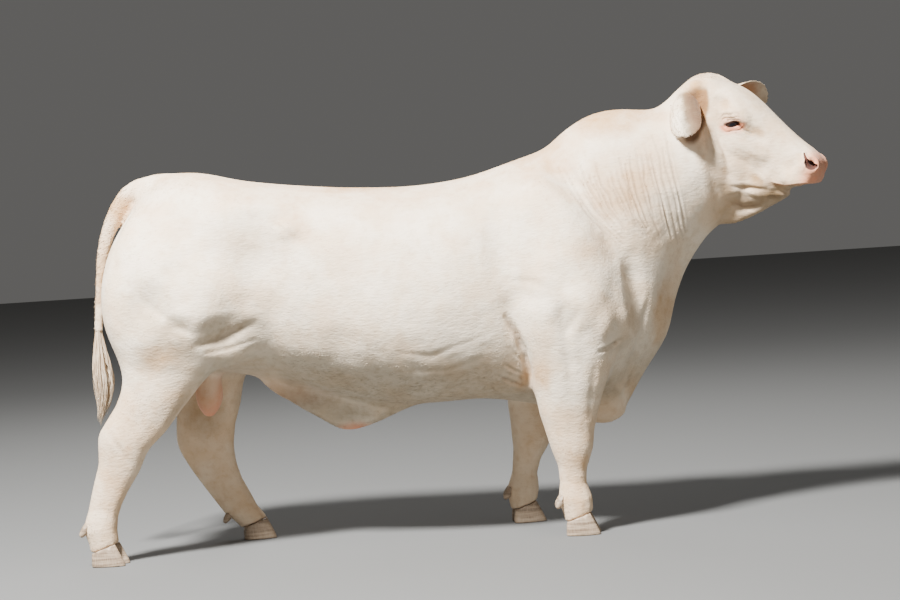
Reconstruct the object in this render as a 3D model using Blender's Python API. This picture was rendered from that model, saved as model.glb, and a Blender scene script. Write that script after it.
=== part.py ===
"""A Charolais bull standing with its head turned a little to its right, as a life-size still model.

Metres, +Z up. The bull faces +X, and +Y is its left side. The flesh is one body, fused from lofted
forms and muscle masses, and is parted by thin cuts into the pieces that a person would name.
"""

import math

import bmesh
import bpy
import numpy as np
from mathutils import Matrix, Vector

# Touching pieces keep this gap.
GAP = 0.0003
# Points nearer than this are one point.
MERGE = 0.00002
# Grid on which the forms of the flesh are fused, and the rounds of smoothing that blend them.
VOXEL = 0.006
HEAD_BLEND = 10
BODY_BLEND = 110
# The heavy smoothing fades out over this much towards the head and down the legs.
HEAD_BLEND_FROM = 0.940
LEG_BLEND_UNDER = 0.480
BLEND_FADE = 0.200
BLEND_LEVELS = 8
LOFT_SIDES = 64
RING_STEP = 0.03
# Triangles kept for the flesh behind the head and for the head.
BODY_TRIANGLES = 5300
HEAD_TRIANGLES = 2500

# Trunk: x, top z, bottom z, half width, height of the widest place, squareness above and below it.
TRUNK = [
    (-1.200, 1.160, 0.960, 0.090, 0.50, 2.0, 2.0),
    (-1.150, 1.262, 0.820, 0.185, 0.50, 2.0, 2.0),
    (-1.090, 1.335, 0.760, 0.235, 0.55, 2.0, 2.0),
    (-1.020, 1.386, 0.710, 0.272, 0.55, 2.1, 2.0),
    (-0.930, 1.393, 0.668, 0.296, 0.58, 2.3, 2.0),
    (-0.720, 1.346, 0.625, 0.322, 0.60, 2.6, 2.1),
    (-0.500, 1.314, 0.565, 0.345, 0.52, 2.6, 2.2),
    (-0.300, 1.296, 0.508, 0.362, 0.48, 2.4, 2.2),
    (-0.100, 1.290, 0.487, 0.368, 0.48, 2.3, 2.2),
    (0.100, 1.312, 0.490, 0.350, 0.50, 2.2, 2.1),
    (0.270, 1.362, 0.462, 0.325, 0.50, 2.0, 2.0),
    (0.420, 1.400, 0.430, 0.315, 0.50, 1.9, 1.9),
    (0.560, 1.400, 0.420, 0.280, 0.45, 1.8, 1.7),
    (0.690, 1.300, 0.545, 0.215, 0.45, 1.9, 1.7),
    (0.780, 1.130, 0.680, 0.130, 0.45, 2.0, 1.8),
]

# Neck: top x and z, bottom x and z, centre y, half width, widest place, squareness above and below.
NECK = [
    (0.230, 1.300, 0.420, 0.640, 0.000, 0.240, 0.50, 2.0, 1.8),
    (0.390, 1.405, 0.640, 0.590, 0.000, 0.265, 0.48, 2.0, 1.6),
    (0.470, 1.470, 0.775, 0.690, 0.000, 0.250, 0.46, 2.0, 1.5),
    (0.570, 1.518, 0.832, 0.815, 0.000, 0.225, 0.46, 2.0, 1.5),
    (0.690, 1.524, 0.888, 0.930, -0.004, 0.200, 0.48, 2.0, 1.5),
    (0.790, 1.512, 0.960, 1.030, -0.012, 0.180, 0.50, 2.0, 1.6),
    (0.870, 1.535, 1.015, 1.090, -0.022, 0.162, 0.52, 2.0, 1.7),
    (0.945, 1.560, 1.060, 1.150, -0.035, 0.130, 0.52, 2.0, 1.8),
]

# Brisket and dewlap: the loose fold that hangs from the throat to between the forelegs.
# Top x and z, bottom x and z, half width.
BRISKET = [
    (0.300, 0.560, 0.300, 0.440, 0.050),
    (0.430, 0.600, 0.430, 0.400, 0.085),
    (0.540, 0.640, 0.545, 0.368, 0.095),
    (0.585, 0.700, 0.608, 0.392, 0.090),
    (0.620, 0.740, 0.646, 0.452, 0.084),
    (0.650, 0.800, 0.708, 0.548, 0.078),
    (0.680, 0.860, 0.800, 0.672, 0.065),
    (0.720, 0.950, 0.836, 0.800, 0.050),
    (0.800, 1.060, 0.872, 0.905, 0.040),
]

# Sheath: the fold of the belly that carries the prepuce. Top x and z, bottom x and z, half width.
SHEATH = [
    (-0.720, 0.680, -0.720, 0.602, 0.030),
    (-0.600, 0.620, -0.610, 0.510, 0.042),
    (-0.490, 0.570, -0.500, 0.440, 0.046),
    (-0.400, 0.560, -0.425, 0.392, 0.040),
    (-0.310, 0.540, -0.330, 0.404, 0.044),
    (-0.200, 0.540, -0.235, 0.440, 0.036),
    (-0.100, 0.540, -0.120, 0.484, 0.022),
]

# Legs, from the muscle inside the trunk down to the pastern.
# Front x and z, back x and z, centre y as a share of the foot's, half width.
NEAR_FORELEG = [
    (0.500, 1.180, 0.300, 1.200, 0.72, 0.120),
    (0.590, 1.000, 0.230, 1.000, 0.86, 0.150),
    (0.625, 0.840, 0.220, 0.860, 0.96, 0.155),
    (0.600, 0.700, 0.230, 0.730, 1.02, 0.137),
    (0.568, 0.600, 0.250, 0.620, 1.03, 0.115),
    (0.530, 0.500, 0.276, 0.510, 1.02, 0.094),
    (0.502, 0.425, 0.296, 0.430, 1.00, 0.077),
    (0.486, 0.360, 0.316, 0.355, 1.00, 0.066),
    (0.480, 0.310, 0.330, 0.300, 1.00, 0.062),
    (0.458, 0.250, 0.348, 0.245, 1.00, 0.048),
    (0.448, 0.190, 0.350, 0.185, 1.00, 0.043),
    (0.466, 0.138, 0.342, 0.125, 1.00, 0.054),
    (0.466, 0.092, 0.358, 0.072, 1.00, 0.053),
    (0.456, 0.050, 0.364, 0.024, 1.00, 0.052),
]
FAR_FORELEG = [
    (0.480, 1.180, 0.280, 1.200, 0.78, 0.120),
    (0.560, 1.000, 0.205, 1.000, 0.94, 0.150),
    (0.585, 0.840, 0.180, 0.860, 1.05, 0.155),
    (0.535, 0.700, 0.170, 0.730, 1.10, 0.135),
    (0.475, 0.600, 0.172, 0.620, 1.10, 0.115),
    (0.412, 0.500, 0.184, 0.510, 1.06, 0.094),
    (0.378, 0.425, 0.192, 0.430, 1.02, 0.077),
    (0.358, 0.355, 0.198, 0.350, 1.00, 0.066),
    (0.346, 0.300, 0.200, 0.295, 1.00, 0.062),
    (0.308, 0.240, 0.196, 0.235, 1.00, 0.048),
    (0.288, 0.180, 0.186, 0.175, 1.00, 0.043),
    (0.291, 0.128, 0.165, 0.115, 1.00, 0.054),
    (0.284, 0.088, 0.176, 0.068, 1.00, 0.052),
    (0.276, 0.050, 0.182, 0.024, 1.00, 0.052),
]
NEAR_HINDLEG = [
    (-0.780, 1.230, -1.130, 1.270, 0.50, 0.120),
    (-0.720, 1.080, -1.220, 1.120, 0.64, 0.170),
    (-0.700, 0.930, -1.256, 0.970, 0.74, 0.190),
    (-0.735, 0.800, -1.250, 0.850, 0.80, 0.175),
    (-0.835, 0.690, -1.215, 0.750, 0.86, 0.130),
    (-0.918, 0.612, -1.192, 0.668, 0.92, 0.094),
    (-0.986, 0.535, -1.212, 0.585, 0.97, 0.073),
    (-1.048, 0.462, -1.258, 0.515, 1.00, 0.060),
    (-1.108, 0.405, -1.288, 0.465, 1.00, 0.061),
    (-1.144, 0.335, -1.294, 0.368, 1.00, 0.050),
    (-1.196, 0.255, -1.324, 0.270, 1.00, 0.043),
    (-1.232, 0.185, -1.344, 0.195, 1.00, 0.045),
    (-1.241, 0.137, -1.363, 0.135, 1.00, 0.056),
    (-1.240, 0.092, -1.346, 0.076, 1.00, 0.052),
    (-1.236, 0.050, -1.340, 0.024, 1.00, 0.052),
]
FAR_HINDLEG = [
    (-0.740, 1.230, -1.110, 1.270, 0.56, 0.120),
    (-0.680, 1.080, -1.205, 1.120, 0.72, 0.170),
    (-0.660, 0.930, -1.238, 0.970, 0.84, 0.190),
    (-0.680, 0.800, -1.215, 0.850, 0.90, 0.175),
    (-0.740, 0.690, -1.155, 0.735, 0.94, 0.130),
    (-0.792, 0.600, -1.086, 0.642, 0.97, 0.094),
    (-0.812, 0.514, -1.054, 0.545, 1.00, 0.073),
    (-0.838, 0.434, -1.062, 0.455, 1.00, 0.060),
    (-0.848, 0.362, -1.064, 0.375, 1.00, 0.061),
    (-0.842, 0.290, -1.024, 0.286, 1.00, 0.050),
    (-0.820, 0.218, -0.966, 0.195, 1.00, 0.043),
    (-0.792, 0.162, -0.922, 0.130, 1.00, 0.047),
    (-0.775, 0.122, -0.895, 0.092, 1.00, 0.053),
    (-0.748, 0.090, -0.856, 0.062, 1.00, 0.052),
    (-0.736, 0.050, -0.838, 0.024, 1.00, 0.052),
]

# Muscle masses of the left side: centre, radii and turn about the side axis in degrees.
BODY_MASSES = {
    "shoulder_blade": ((0.400, 0.205, 1.030), (0.150, 0.115, 0.280), -18),
    "shoulder_point": ((0.575, 0.180, 0.790), (0.110, 0.115, 0.135), 0),
    "upper_arm": ((0.400, 0.240, 0.740), (0.165, 0.095, 0.140), 25),
    "hip_bone": ((-0.730, 0.215, 1.225), (0.130, 0.080, 0.065), 0),
    "round": ((-1.030, 0.185, 0.960), (0.205, 0.175, 0.230), 0),
    "stifle": ((-0.800, 0.225, 0.810), (0.120, 0.090, 0.140), 20),
}

# Each foot: leg table, centre of the sole in x and y, and the turn of the toes in degrees.
FEET = {
    "front_right": (NEAR_FORELEG, 0.428, -0.225, -5.0),
    "front_left": (FAR_FORELEG, 0.247, 0.205, 6.0),
    "hind_right": (NEAR_HINDLEG, -1.272, -0.245, -7.0),
    "hind_left": (FAR_HINDLEG, -0.772, 0.220, 7.0),
}

# Claw: sole length and width, coronet height at the toe and the heel, cleft between a foot's two claws.
CLAW_LENGTH = 0.128
CLAW_WIDTH = 0.056
TOE_HEIGHT = 0.078
HEEL_HEIGHT = 0.048
CLEFT = 0.008
CORONET_TOE_BACK = 0.038
CORONET_HEEL_FORWARD = 0.004
CORONET_INSET = 0.0035
SOLE_BEVEL = 0.004
CLAW_SIDES = 18
CLAW_SQUARENESS = 2.5
# The toe narrows by this share, and the wall beside the cleft is this much flatter.
TOE_NARROWING = 0.30
INNER_WALL = 0.82
# Rings of a claw from the sole up: share of the height, and how far the edge is rounded in.
CLAW_RINGS = ((0.0, SOLE_BEVEL), (0.06, 0.0), (0.5, 0.0), (1.0, 0.0))

# Dewclaws stand behind the fetlock, which is this row of a leg's table.
FETLOCK_ROW = -3
DEWCLAW_ASIDE = 0.026
DEWCLAW_SUNK = 0.012
DEWCLAW_RAISED = 0.004
DEWCLAW_RADIUS = 0.0145
DEWCLAW_DROOP = math.radians(52.0)
DEWCLAW_SPLAY = 0.18
DEWCLAW_SIDES = 9
# Along a dewclaw from inside the leg: distance and share of the radius.
DEWCLAW_RINGS = ((-0.014, 1.0), (0.010, 1.0), (0.024, 0.82), (0.034, 0.40))

# Head, in its own frame: x from the poll along the face to the nose, y to its left, z out of the forehead.
POLL = Vector((0.985, -0.030, 1.615))
HEAD_YAW = math.radians(-25.0)
HEAD_PITCH = math.radians(39.5)
HEAD_ROLL = math.radians(4.0)
# Top x and z, bottom x and z, half width, widest place, squareness above and below.
HEAD = [
    (-0.090, -0.200, -0.070, -0.280, 0.070, 0.60, 2.0, 2.0),
    (-0.060, -0.100, 0.000, -0.310, 0.098, 0.62, 2.0, 2.0),
    (-0.030, -0.014, 0.060, -0.330, 0.110, 0.68, 2.1, 2.0),
    (0.010, 0.021, 0.110, -0.345, 0.114, 0.70, 2.3, 2.0),
    (0.075, 0.034, 0.190, -0.358, 0.114, 0.74, 2.6, 2.0),
    (0.150, 0.046, 0.280, -0.354, 0.114, 0.76, 2.8, 2.0),
    (0.225, 0.044, 0.350, -0.335, 0.103, 0.74, 2.6, 2.0),
    (0.300, 0.037, 0.405, -0.300, 0.087, 0.66, 2.2, 2.0),
    (0.370, 0.029, 0.445, -0.252, 0.077, 0.58, 2.1, 2.1),
    (0.430, 0.024, 0.470, -0.208, 0.073, 0.54, 2.1, 2.2),
    (0.485, 0.022, 0.494, -0.160, 0.075, 0.58, 2.3, 2.2),
    (0.525, 0.012, 0.528, -0.118, 0.072, 0.58, 2.4, 2.2),
    (0.550, -0.006, 0.550, -0.094, 0.060, 0.58, 2.3, 2.2),
    (0.562, -0.030, 0.561, -0.078, 0.036, 0.60, 2.0, 2.0),
]
# Masses of the head's left side, centre and radii in its frame; each has its like on the right.
HEAD_MASSES = {
    "brow": ((0.198, 0.084, -0.024), (0.070, 0.040, 0.040)),
    "cheek": ((0.255, 0.066, -0.225), (0.110, 0.038, 0.105)),
    "cheekbone": ((0.275, 0.074, -0.102), (0.090, 0.024, 0.028)),
    "nostril_wing": ((0.515, 0.048, -0.022), (0.038, 0.034, 0.038)),
    "lip": ((0.492, 0.052, -0.092), (0.056, 0.029, 0.036)),
    "chin": ((0.455, 0.016, -0.166), (0.050, 0.038, 0.030)),
    "ear_root": ((0.016, 0.090, -0.050), (0.042, 0.034, 0.044)),
}
# Fold of loose skin under the jaw, from the chin to the throat, in the head's frame.
THROAT = [
    (0.440, -0.150, 0.500, -0.186, 0.034),
    (0.400, -0.200, 0.474, -0.240, 0.028),
    (0.340, -0.260, 0.436, -0.316, 0.024),
    (0.280, -0.300, 0.396, -0.378, 0.026),
    (0.200, -0.320, 0.330, -0.425, 0.034),
    (0.120, -0.320, 0.240, -0.455, 0.042),
]
# Hollows of the head's left side: centre and radii in its frame, and depth.
HEAD_HOLLOWS = {
    "temple": ((0.130, 0.100, -0.010), (0.030, 0.040, 0.020), 0.007),
    "tear_hollow": ((0.275, 0.080, -0.040), (0.030, 0.040, 0.018), 0.006),
    "cheek_front": ((0.360, 0.090, -0.150), (0.050, 0.040, 0.050), 0.008),
    "under_cheekbone": ((0.290, 0.100, -0.145), (0.070, 0.040, 0.014), 0.005),
    "nostril_behind": ((0.470, 0.080, -0.050), (0.018, 0.040, 0.040), 0.006),
}

# Eye: centre in the head's frame on its left, radius, thickness of the lids over it, the slit and its slant.
EYE_AT = (0.211, 0.094, -0.052)
EYE_RADIUS = 0.0205
EYE_SIDES = 16
EYE_RINGS = 9
LID_THICKNESS = 0.0035
SLIT_LENGTH = 0.044
SLIT_HEIGHT = 0.017
SLIT_SLANT = math.radians(32.0)
EYE_LOOK = Vector((0.30, 0.93, 0.06)).normalized()

# Nostril on the left, in the head's frame: a place inside the muzzle and the way from it to the opening,
# and the half length, half width and depth of its pocket and of the slit that runs back and up from it.
NOSTRIL_AT = (0.482, 0.0, -0.020)
NOSTRIL_LOOK = Vector((0.52, 0.82, 0.24)).normalized()
NOSTRIL_POCKET = (0.024, 0.016, 0.026)
NOSTRIL_SLIT = (0.018, 0.0065, 0.016)
NOSTRIL_SLIT_BACK = 0.014
NOSTRIL_SLIT_UP = 0.012
NOSTRIL_SLANT = math.radians(20.0)
NOSTRIL_SLIT_SLANT = math.radians(78.0)

# Mouth: corner, side and front of the line between the lips, in the head's frame on its left.
MOUTH_LINE = [
    (0.412, 0.078, -0.158),
    (0.450, 0.078, -0.150),
    (0.490, 0.077, -0.130),
    (0.525, 0.067, -0.098),
    (0.550, 0.046, -0.078),
    (0.562, 0.022, -0.070),
    (0.566, 0.000, -0.068),
]
MOUTH_DEPTH = 0.016
MOUTH_GAPE = 0.0030
MOUTH_PINCH = 0.15
MOUTH_CORNER = 0.25
MOUTH_STEPS = 19
# The cut faces away from this place along the head.
MOUTH_MIDDLE = 0.440

# Ears: root and tip in the bull's frame, the way the cup opens, and the bow of the blade between them.
EARS = {
    "right": ((0.894, -0.092, 1.588), (0.892, -0.258, 1.404), (0.50, 0.60, -0.62), (-0.030, 0, 0)),
    "left": ((1.010, 0.080, 1.536), (1.236, 0.206, 1.538), (0.45, -0.80, -0.25), (0, 0, 0.008)),
}
# Down an ear: share of its length, half width of the blade and how far it rolls round, in degrees.
EAR_SHAPE = [
    (0.00, 0.027, 140.0),
    (0.14, 0.036, 125.0),
    (0.30, 0.054, 98.0),
    (0.50, 0.066, 74.0),
    (0.70, 0.063, 58.0),
    (0.85, 0.052, 48.0),
    (0.95, 0.035, 40.0),
    (1.00, 0.014, 32.0),
]
EAR_THICKNESS = 0.0070
EAR_RIM = 0.0035
EAR_RINGS = 10
EAR_SIDES = 8

# Tail: centre line x and z, half depth and half width, from the tail head down to the end of the dock.
TAIL = [
    (-0.985, 1.345, 0.050, 0.060),
    (-1.045, 1.354, 0.047, 0.056),
    (-1.098, 1.345, 0.043, 0.049),
    (-1.159, 1.314, 0.038, 0.041),
    (-1.201, 1.257, 0.034, 0.035),
    (-1.237, 1.187, 0.029, 0.029),
    (-1.260, 1.110, 0.025, 0.025),
    (-1.273, 1.025, 0.022, 0.022),
    (-1.287, 0.912, 0.020, 0.020),
    (-1.297, 0.822, 0.018, 0.019),
]
# Switch: centre line x and z, half depth and half width of the hair's outline.
SWITCH = [
    (-1.296, 0.8240, 0.018, 0.019),
    (-1.298, 0.760, 0.025, 0.028),
    (-1.296, 0.700, 0.036, 0.038),
    (-1.293, 0.644, 0.040, 0.042),
    (-1.293, 0.603, 0.034, 0.036),
    (-1.299, 0.561, 0.024, 0.026),
    (-1.314, 0.495, 0.006, 0.007),
]
# The switch's core takes this share of its outline and ends this share of the way down.
SWITCH_CORE = 0.62
SWITCH_CORE_END = 0.86
SWITCH_LOCKS = 18
LOCK_HALF_WIDTH = 0.0100
LOCK_HALF_THICKNESS = 0.0050
LOCK_RINGS = 6
LOCK_SEED = 7

# Scrotum: centre x, z, half length and half width, from the neck down.
SCROTUM = [
    (-0.900, 0.740, 0.044, 0.050),
    (-0.902, 0.670, 0.042, 0.050),
    (-0.904, 0.620, 0.048, 0.060),
    (-0.906, 0.570, 0.052, 0.068),
    (-0.909, 0.525, 0.042, 0.056),
    (-0.912, 0.490, 0.016, 0.020),
]

# Creases and hollows seen from the side: line of x and z, half width and depth.
SIDE_CREASES = {
    "elbow": ([(0.200, 0.850), (0.235, 0.700), (0.262, 0.560)], 0.020, 0.030),
    "neck_and_shoulder": ([(0.400, 1.330), (0.560, 1.130), (0.660, 0.930), (0.690, 0.760)], 0.040, 0.018),
    "blade_back": ([(0.110, 1.200), (0.200, 1.020), (0.230, 0.900)], 0.050, 0.010),
    "thigh": ([(-1.060, 1.160), (-1.115, 0.980), (-1.110, 0.800), (-1.080, 0.690)], 0.034, 0.012),
    "flank_fold": ([(-0.640, 0.640), (-0.650, 0.760), (-0.640, 0.900)], 0.045, 0.018),
    "flank_hollow": ([(-0.560, 1.100), (-0.600, 1.060)], 0.100, 0.014),
    "arm_front": ([(0.575, 0.880), (0.590, 0.760), (0.575, 0.630)], 0.022, 0.018),
    "arm_back": ([(0.400, 0.920), (0.440, 0.780), (0.450, 0.640)], 0.030, 0.009),
    "brisket_corner": ([(0.520, 0.700), (0.575, 0.690)], 0.018, 0.012),
    "gaskin": ([(-1.020, 0.760), (-0.930, 0.730), (-0.850, 0.770)], 0.040, 0.008),
    "loin": ([(-0.900, 1.240), (-0.960, 1.180)], 0.070, 0.007),
    "belly_fold": ([(-0.560, 0.640), (-0.380, 0.600), (-0.220, 0.590)], 0.045, 0.010),
    "jaw_and_neck": ([(0.960, 1.400), (0.975, 1.250), (0.995, 1.120)], 0.026, 0.010),
    "dewlap": ([(0.900, 1.020), (0.790, 0.860), (0.715, 0.660), (0.620, 0.520)], 0.026, 0.012),
}

# Cleft between the buttocks, under the tail: height from and to, half width and depth.
CLEFT_LOW, CLEFT_HIGH = 0.720, 1.180
CLEFT_HALF_WIDTH = 0.045
CLEFT_DEPTH = 0.055

# Cuts between the pieces: a point in x and z and the lean of the plane.
HEAD_CUT = ((0.860, -0.020, 1.560), (0.125, -0.510))
HEAD_CUT_YAW = math.radians(-14.0)
NECK_CUT = ((0.450, 0.000, 1.480), (0.210, -0.930))

# Leg cuts: back and front x at the floor, back and front x on top, inner y, outer y, inner and outer top.
LEG_CUTS = {
    "front_right": (0.290, 0.600, 0.262, 0.600, 0.112, 0.480, 0.500, 0.740),
    "front_left": (0.150, 0.480, 0.172, 0.540, 0.112, 0.480, 0.500, 0.740),
    "hind_right": (-1.460, -1.000, -1.420, -0.690, 0.006, 0.480, 0.640, 0.900),
    "hind_left": (-1.240, -0.640, -1.400, -0.650, 0.006, 0.480, 0.640, 0.900),
}

COAT = ((0.83, 0.74, 0.66), 0.85)
PINK_SKIN = ((0.72, 0.42, 0.34), 0.6)
TAIL_HAIR = ((0.72, 0.62, 0.48), 0.85)
HORN = ((0.42, 0.32, 0.24), 0.5)
EYE_DARK = ((0.035, 0.020, 0.015), 0.12)
EAR_COAT = ((0.78, 0.66, 0.57), 0.85)


def clear_scene():
    for obj in list(bpy.data.objects):
        bpy.data.objects.remove(obj)


def material(name, look):
    colour, roughness = look
    made = bpy.data.materials.new(name)
    made.use_nodes = True
    shader = made.node_tree.nodes["Principled BSDF"]
    shader.inputs["Base Color"].default_value = (*colour, 1.0)
    shader.inputs["Roughness"].default_value = roughness
    shader.inputs["Metallic"].default_value = 0.0
    return made


def object_from(name, points, faces):
    mesh = bpy.data.meshes.new(name)
    mesh.from_pydata([tuple(p) for p in points], [], faces)
    mesh.update()
    obj = bpy.data.objects.new(name, mesh)
    bpy.context.scene.collection.objects.link(obj)
    return obj


def object_of(name, shape):
    """An object of a bmesh, which is used up."""
    mesh = bpy.data.meshes.new(name)
    shape.to_mesh(mesh)
    shape.free()
    obj = bpy.data.objects.new(name, mesh)
    bpy.context.scene.collection.objects.link(obj)
    return obj


def face_outwards(obj):
    shape = bmesh.new()
    shape.from_mesh(obj.data)
    bmesh.ops.recalc_face_normals(shape, faces=shape.faces)
    shape.to_mesh(obj.data)
    shape.free()
    return obj


def smooth_rows(rows, count, place_columns):
    """Rows of a table read at even steps of a smooth curve through them."""
    rows = np.array(rows, float)
    steps = np.linalg.norm(np.diff(rows[:, :place_columns], axis=0), axis=1)
    places = np.concatenate([[0], np.cumsum(steps)])
    slopes = np.gradient(rows, places, axis=0)
    wanted = np.linspace(0, places[-1], count)
    at = np.clip(np.searchsorted(places, wanted, side="right") - 1, 0, len(rows) - 2)
    span = (places[at + 1] - places[at])[:, None]
    t = (wanted - places[at])[:, None] / span
    start, end = rows[at], rows[at + 1]
    return (
        (2 * t**3 - 3 * t**2 + 1) * start
        + (t**3 - 2 * t**2 + t) * span * slopes[at]
        + (3 * t**2 - 2 * t**3) * end
        + (t**3 - t**2) * span * slopes[at + 1]
    )


def superellipse(angle, squareness):
    """Cosine and sine of the angle, bent towards a square as the squareness passes 2."""
    cosine, sine = math.cos(angle), math.sin(angle)
    power = 2.0 / squareness
    return (
        math.copysign(abs(cosine) ** power, cosine),
        math.copysign(abs(sine) ** power, sine),
    )


def ring_skin(name, rings):
    """A closed body over rings of points, each with the same count."""
    sides = len(rings[0])
    points = [point for ring in rings for point in ring]
    faces = []
    for ring in range(len(rings) - 1):
        for side in range(sides):
            a, b = ring * sides + side, ring * sides + (side + 1) % sides
            faces.append((a, b, b + sides, a + sides))
    faces.append(tuple(range(sides)))
    faces.append(tuple((len(rings) - 1) * sides + side for side in range(sides)))
    return face_outwards(object_from(name, points, faces))


def loft(name, rows, sides=LOFT_SIDES, step=RING_STEP):
    """A closed body through sections: top point, bottom point, half width, widest place, squareness."""
    rows = np.array(rows, float)
    length = np.linalg.norm(np.diff((rows[:, 0:3] + rows[:, 3:6]) / 2, axis=0), axis=1).sum()
    count = max(len(rows), int(length / step) + 2)
    rings = []
    for row in smooth_rows(rows, count, 6):
        top, bottom = Vector(row[0:3]), Vector(row[3:6])
        half_width, widest, above, below = row[6:10]
        centre = bottom.lerp(top, widest)
        ring = []
        for side in range(sides):
            angle = 2 * math.pi * side / sides
            across, along = superellipse(angle, above if math.sin(angle) >= 0 else below)
            reach = (top - centre) * along if along >= 0 else (centre - bottom) * along
            ring.append(centre + reach + Vector((0, half_width * across, 0)))
        rings.append(ring)
    return ring_skin(name, rings)


def hanging_loft(name, table, sides, count):
    """A closed body down a centre line of x and z, with half depth and half width, square to the line."""
    rows = smooth_rows(table, count, 2)
    rings = []
    for index, row in enumerate(rows):
        before, after = rows[max(index - 1, 0)], rows[min(index + 1, count - 1)]
        along = Vector((after[0] - before[0], 0, after[1] - before[1])).normalized()
        across = Vector((-along.z, 0, along.x))
        centre = Vector((row[0], 0, row[1]))
        half_depth, half_width = row[2], row[-1]
        rings.append([
            centre
            + across * half_depth * math.cos(2 * math.pi * side / sides)
            + Vector((0, half_width * math.sin(2 * math.pi * side / sides), 0))
            for side in range(sides)
        ])
    return ring_skin(name, rings)


def ball(name, centre, radii, turn=None, segments=24, rings=14):
    shape = bmesh.new()
    bmesh.ops.create_uvsphere(shape, u_segments=segments, v_segments=rings, radius=1.0)
    place = Matrix.Translation(centre) @ (turn or Matrix.Identity(4)) @ Matrix.Diagonal((*radii, 1.0))
    shape.transform(place)
    return object_of(name, shape)


def apply_modifier(obj, kind, **settings):
    added = obj.modifiers.new(kind.title(), kind)
    for key, value in settings.items():
        setattr(added, key, value)
    graph = bpy.context.evaluated_depsgraph_get()
    made = bpy.data.meshes.new_from_object(obj.evaluated_get(graph))
    obj.modifiers.clear()
    obj.data = made
    return obj


def tidy_mesh(obj):
    """Merges points that a cut has left almost on one another."""
    shape = bmesh.new()
    shape.from_mesh(obj.data)
    bmesh.ops.remove_doubles(shape, verts=shape.verts, dist=MERGE)
    bmesh.ops.dissolve_degenerate(shape, edges=shape.edges, dist=MERGE)
    shape.to_mesh(obj.data)
    shape.free()
    return obj


def boolean(obj, other, operation):
    apply_modifier(obj, "BOOLEAN", operation=operation, solver="EXACT", object=other)
    bpy.data.objects.remove(other)
    return tidy_mesh(obj)


def copy_of(obj, name):
    made = bpy.data.objects.new(name, obj.data.copy())
    bpy.context.scene.collection.objects.link(made)
    return made


def joined(name, pieces):
    """The pieces as one mesh, with nothing fused yet."""
    shape = bmesh.new()
    for piece in pieces:
        shape.from_mesh(piece.data)
        bpy.data.objects.remove(piece)
    return object_of(name, shape)


def largest_body(obj):
    """Keeps the largest closed surface of a mesh and drops scraps."""
    shape = bmesh.new()
    shape.from_mesh(obj.data)
    seen, bodies = set(), []
    for start in shape.verts:
        if start in seen:
            continue
        body, edge = [], [start]
        seen.add(start)
        while edge:
            vert = edge.pop()
            body.append(vert)
            for link in vert.link_edges:
                other = link.other_vert(vert)
                if other not in seen:
                    seen.add(other)
                    edge.append(other)
        bodies.append(body)
    bodies.sort(key=len)
    scraps = [vert for body in bodies[:-1] for vert in body]
    bmesh.ops.delete(shape, geom=scraps, context="VERTS")
    shape.to_mesh(obj.data)
    shape.free()
    return obj


def cut_off(obj, name, point, normal, keep=False):
    """The part of a body on the side of the plane that the normal points to, closed again."""
    shape = bmesh.new()
    shape.from_mesh(obj.data)
    everything = shape.verts[:] + shape.edges[:] + shape.faces[:]
    made = bmesh.ops.bisect_plane(shape, geom=everything, plane_co=point, plane_no=normal, clear_inner=True)
    rim = [item for item in made["geom_cut"] if isinstance(item, bmesh.types.BMEdge)]
    bmesh.ops.edgenet_fill(shape, edges=rim)
    bmesh.ops.triangulate(shape, faces=[face for face in shape.faces if len(face.verts) > 4])
    bmesh.ops.recalc_face_normals(shape, faces=shape.faces)
    if not keep:
        bpy.data.objects.remove(obj)
    return largest_body(object_of(name, shape))


def head_frame():
    """Carries a point of the head's own frame to the bull's."""
    yaw = Matrix.Rotation(HEAD_YAW, 4, "Z")
    pitch = Matrix.Rotation(HEAD_PITCH, 4, "Y")
    roll = Matrix.Rotation(HEAD_ROLL, 4, "X")
    return Matrix.Translation(POLL) @ yaw @ pitch @ roll


def on_side(point, side):
    """A point of the left side, or its like on the right when side is -1."""
    return Vector((point[0], point[1] * side, point[2]))


def trunk_form():
    rows = [
        (x, 0, top, x, 0, bottom, width, widest, above, below)
        for x, top, bottom, width, widest, above, below in TRUNK
    ]
    return loft("trunk_form", rows)


def neck_form():
    rows = [
        (top_x, y, top_z, low_x, y, low_z, width, widest, above, below)
        for top_x, top_z, low_x, low_z, y, width, widest, above, below in NECK
    ]
    return loft("neck_form", rows)


def fold_form(name, table, above, below):
    rows = [
        (top_x, 0, top_z, low_x, 0, low_z, width, 0.5, above, below)
        for top_x, top_z, low_x, low_z, width in table
    ]
    return loft(name, rows)


def leg_form(name, table, foot_y):
    rows = [
        (front_x, foot_y * share, front_z, back_x, foot_y * share, back_z, width, 0.5, 2.2, 2.2)
        for front_x, front_z, back_x, back_z, share, width in table
    ]
    return loft(name, rows)


def head_form():
    rows = [
        (top_x, 0, top_z, low_x, 0, low_z, width, widest, above, below)
        for top_x, top_z, low_x, low_z, width, widest, above, below in HEAD
    ]
    form = loft("head_form", rows, step=0.015)
    form.data.transform(head_frame())
    return form


def head_masses():
    made = []
    for side in (-1, 1):
        for name, (centre, radii) in HEAD_MASSES.items():
            mass = ball(name, on_side(centre, side), radii)
            mass.data.transform(head_frame())
            made.append(mass)
    return made


def body_masses():
    made = []
    for side in (-1, 1):
        for name, (centre, radii, degrees) in BODY_MASSES.items():
            turn = Matrix.Rotation(math.radians(degrees), 4, "Y")
            made.append(ball(name, on_side(centre, side), radii, turn))
    return made


def read_points(obj):
    flat = np.empty(len(obj.data.vertices) * 3)
    obj.data.vertices.foreach_get("co", flat)
    return flat.reshape(-1, 3)


def read_normals(obj):
    flat = np.empty(len(obj.data.vertices) * 3)
    obj.data.vertices.foreach_get("normal", flat)
    return flat.reshape(-1, 3)


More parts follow.
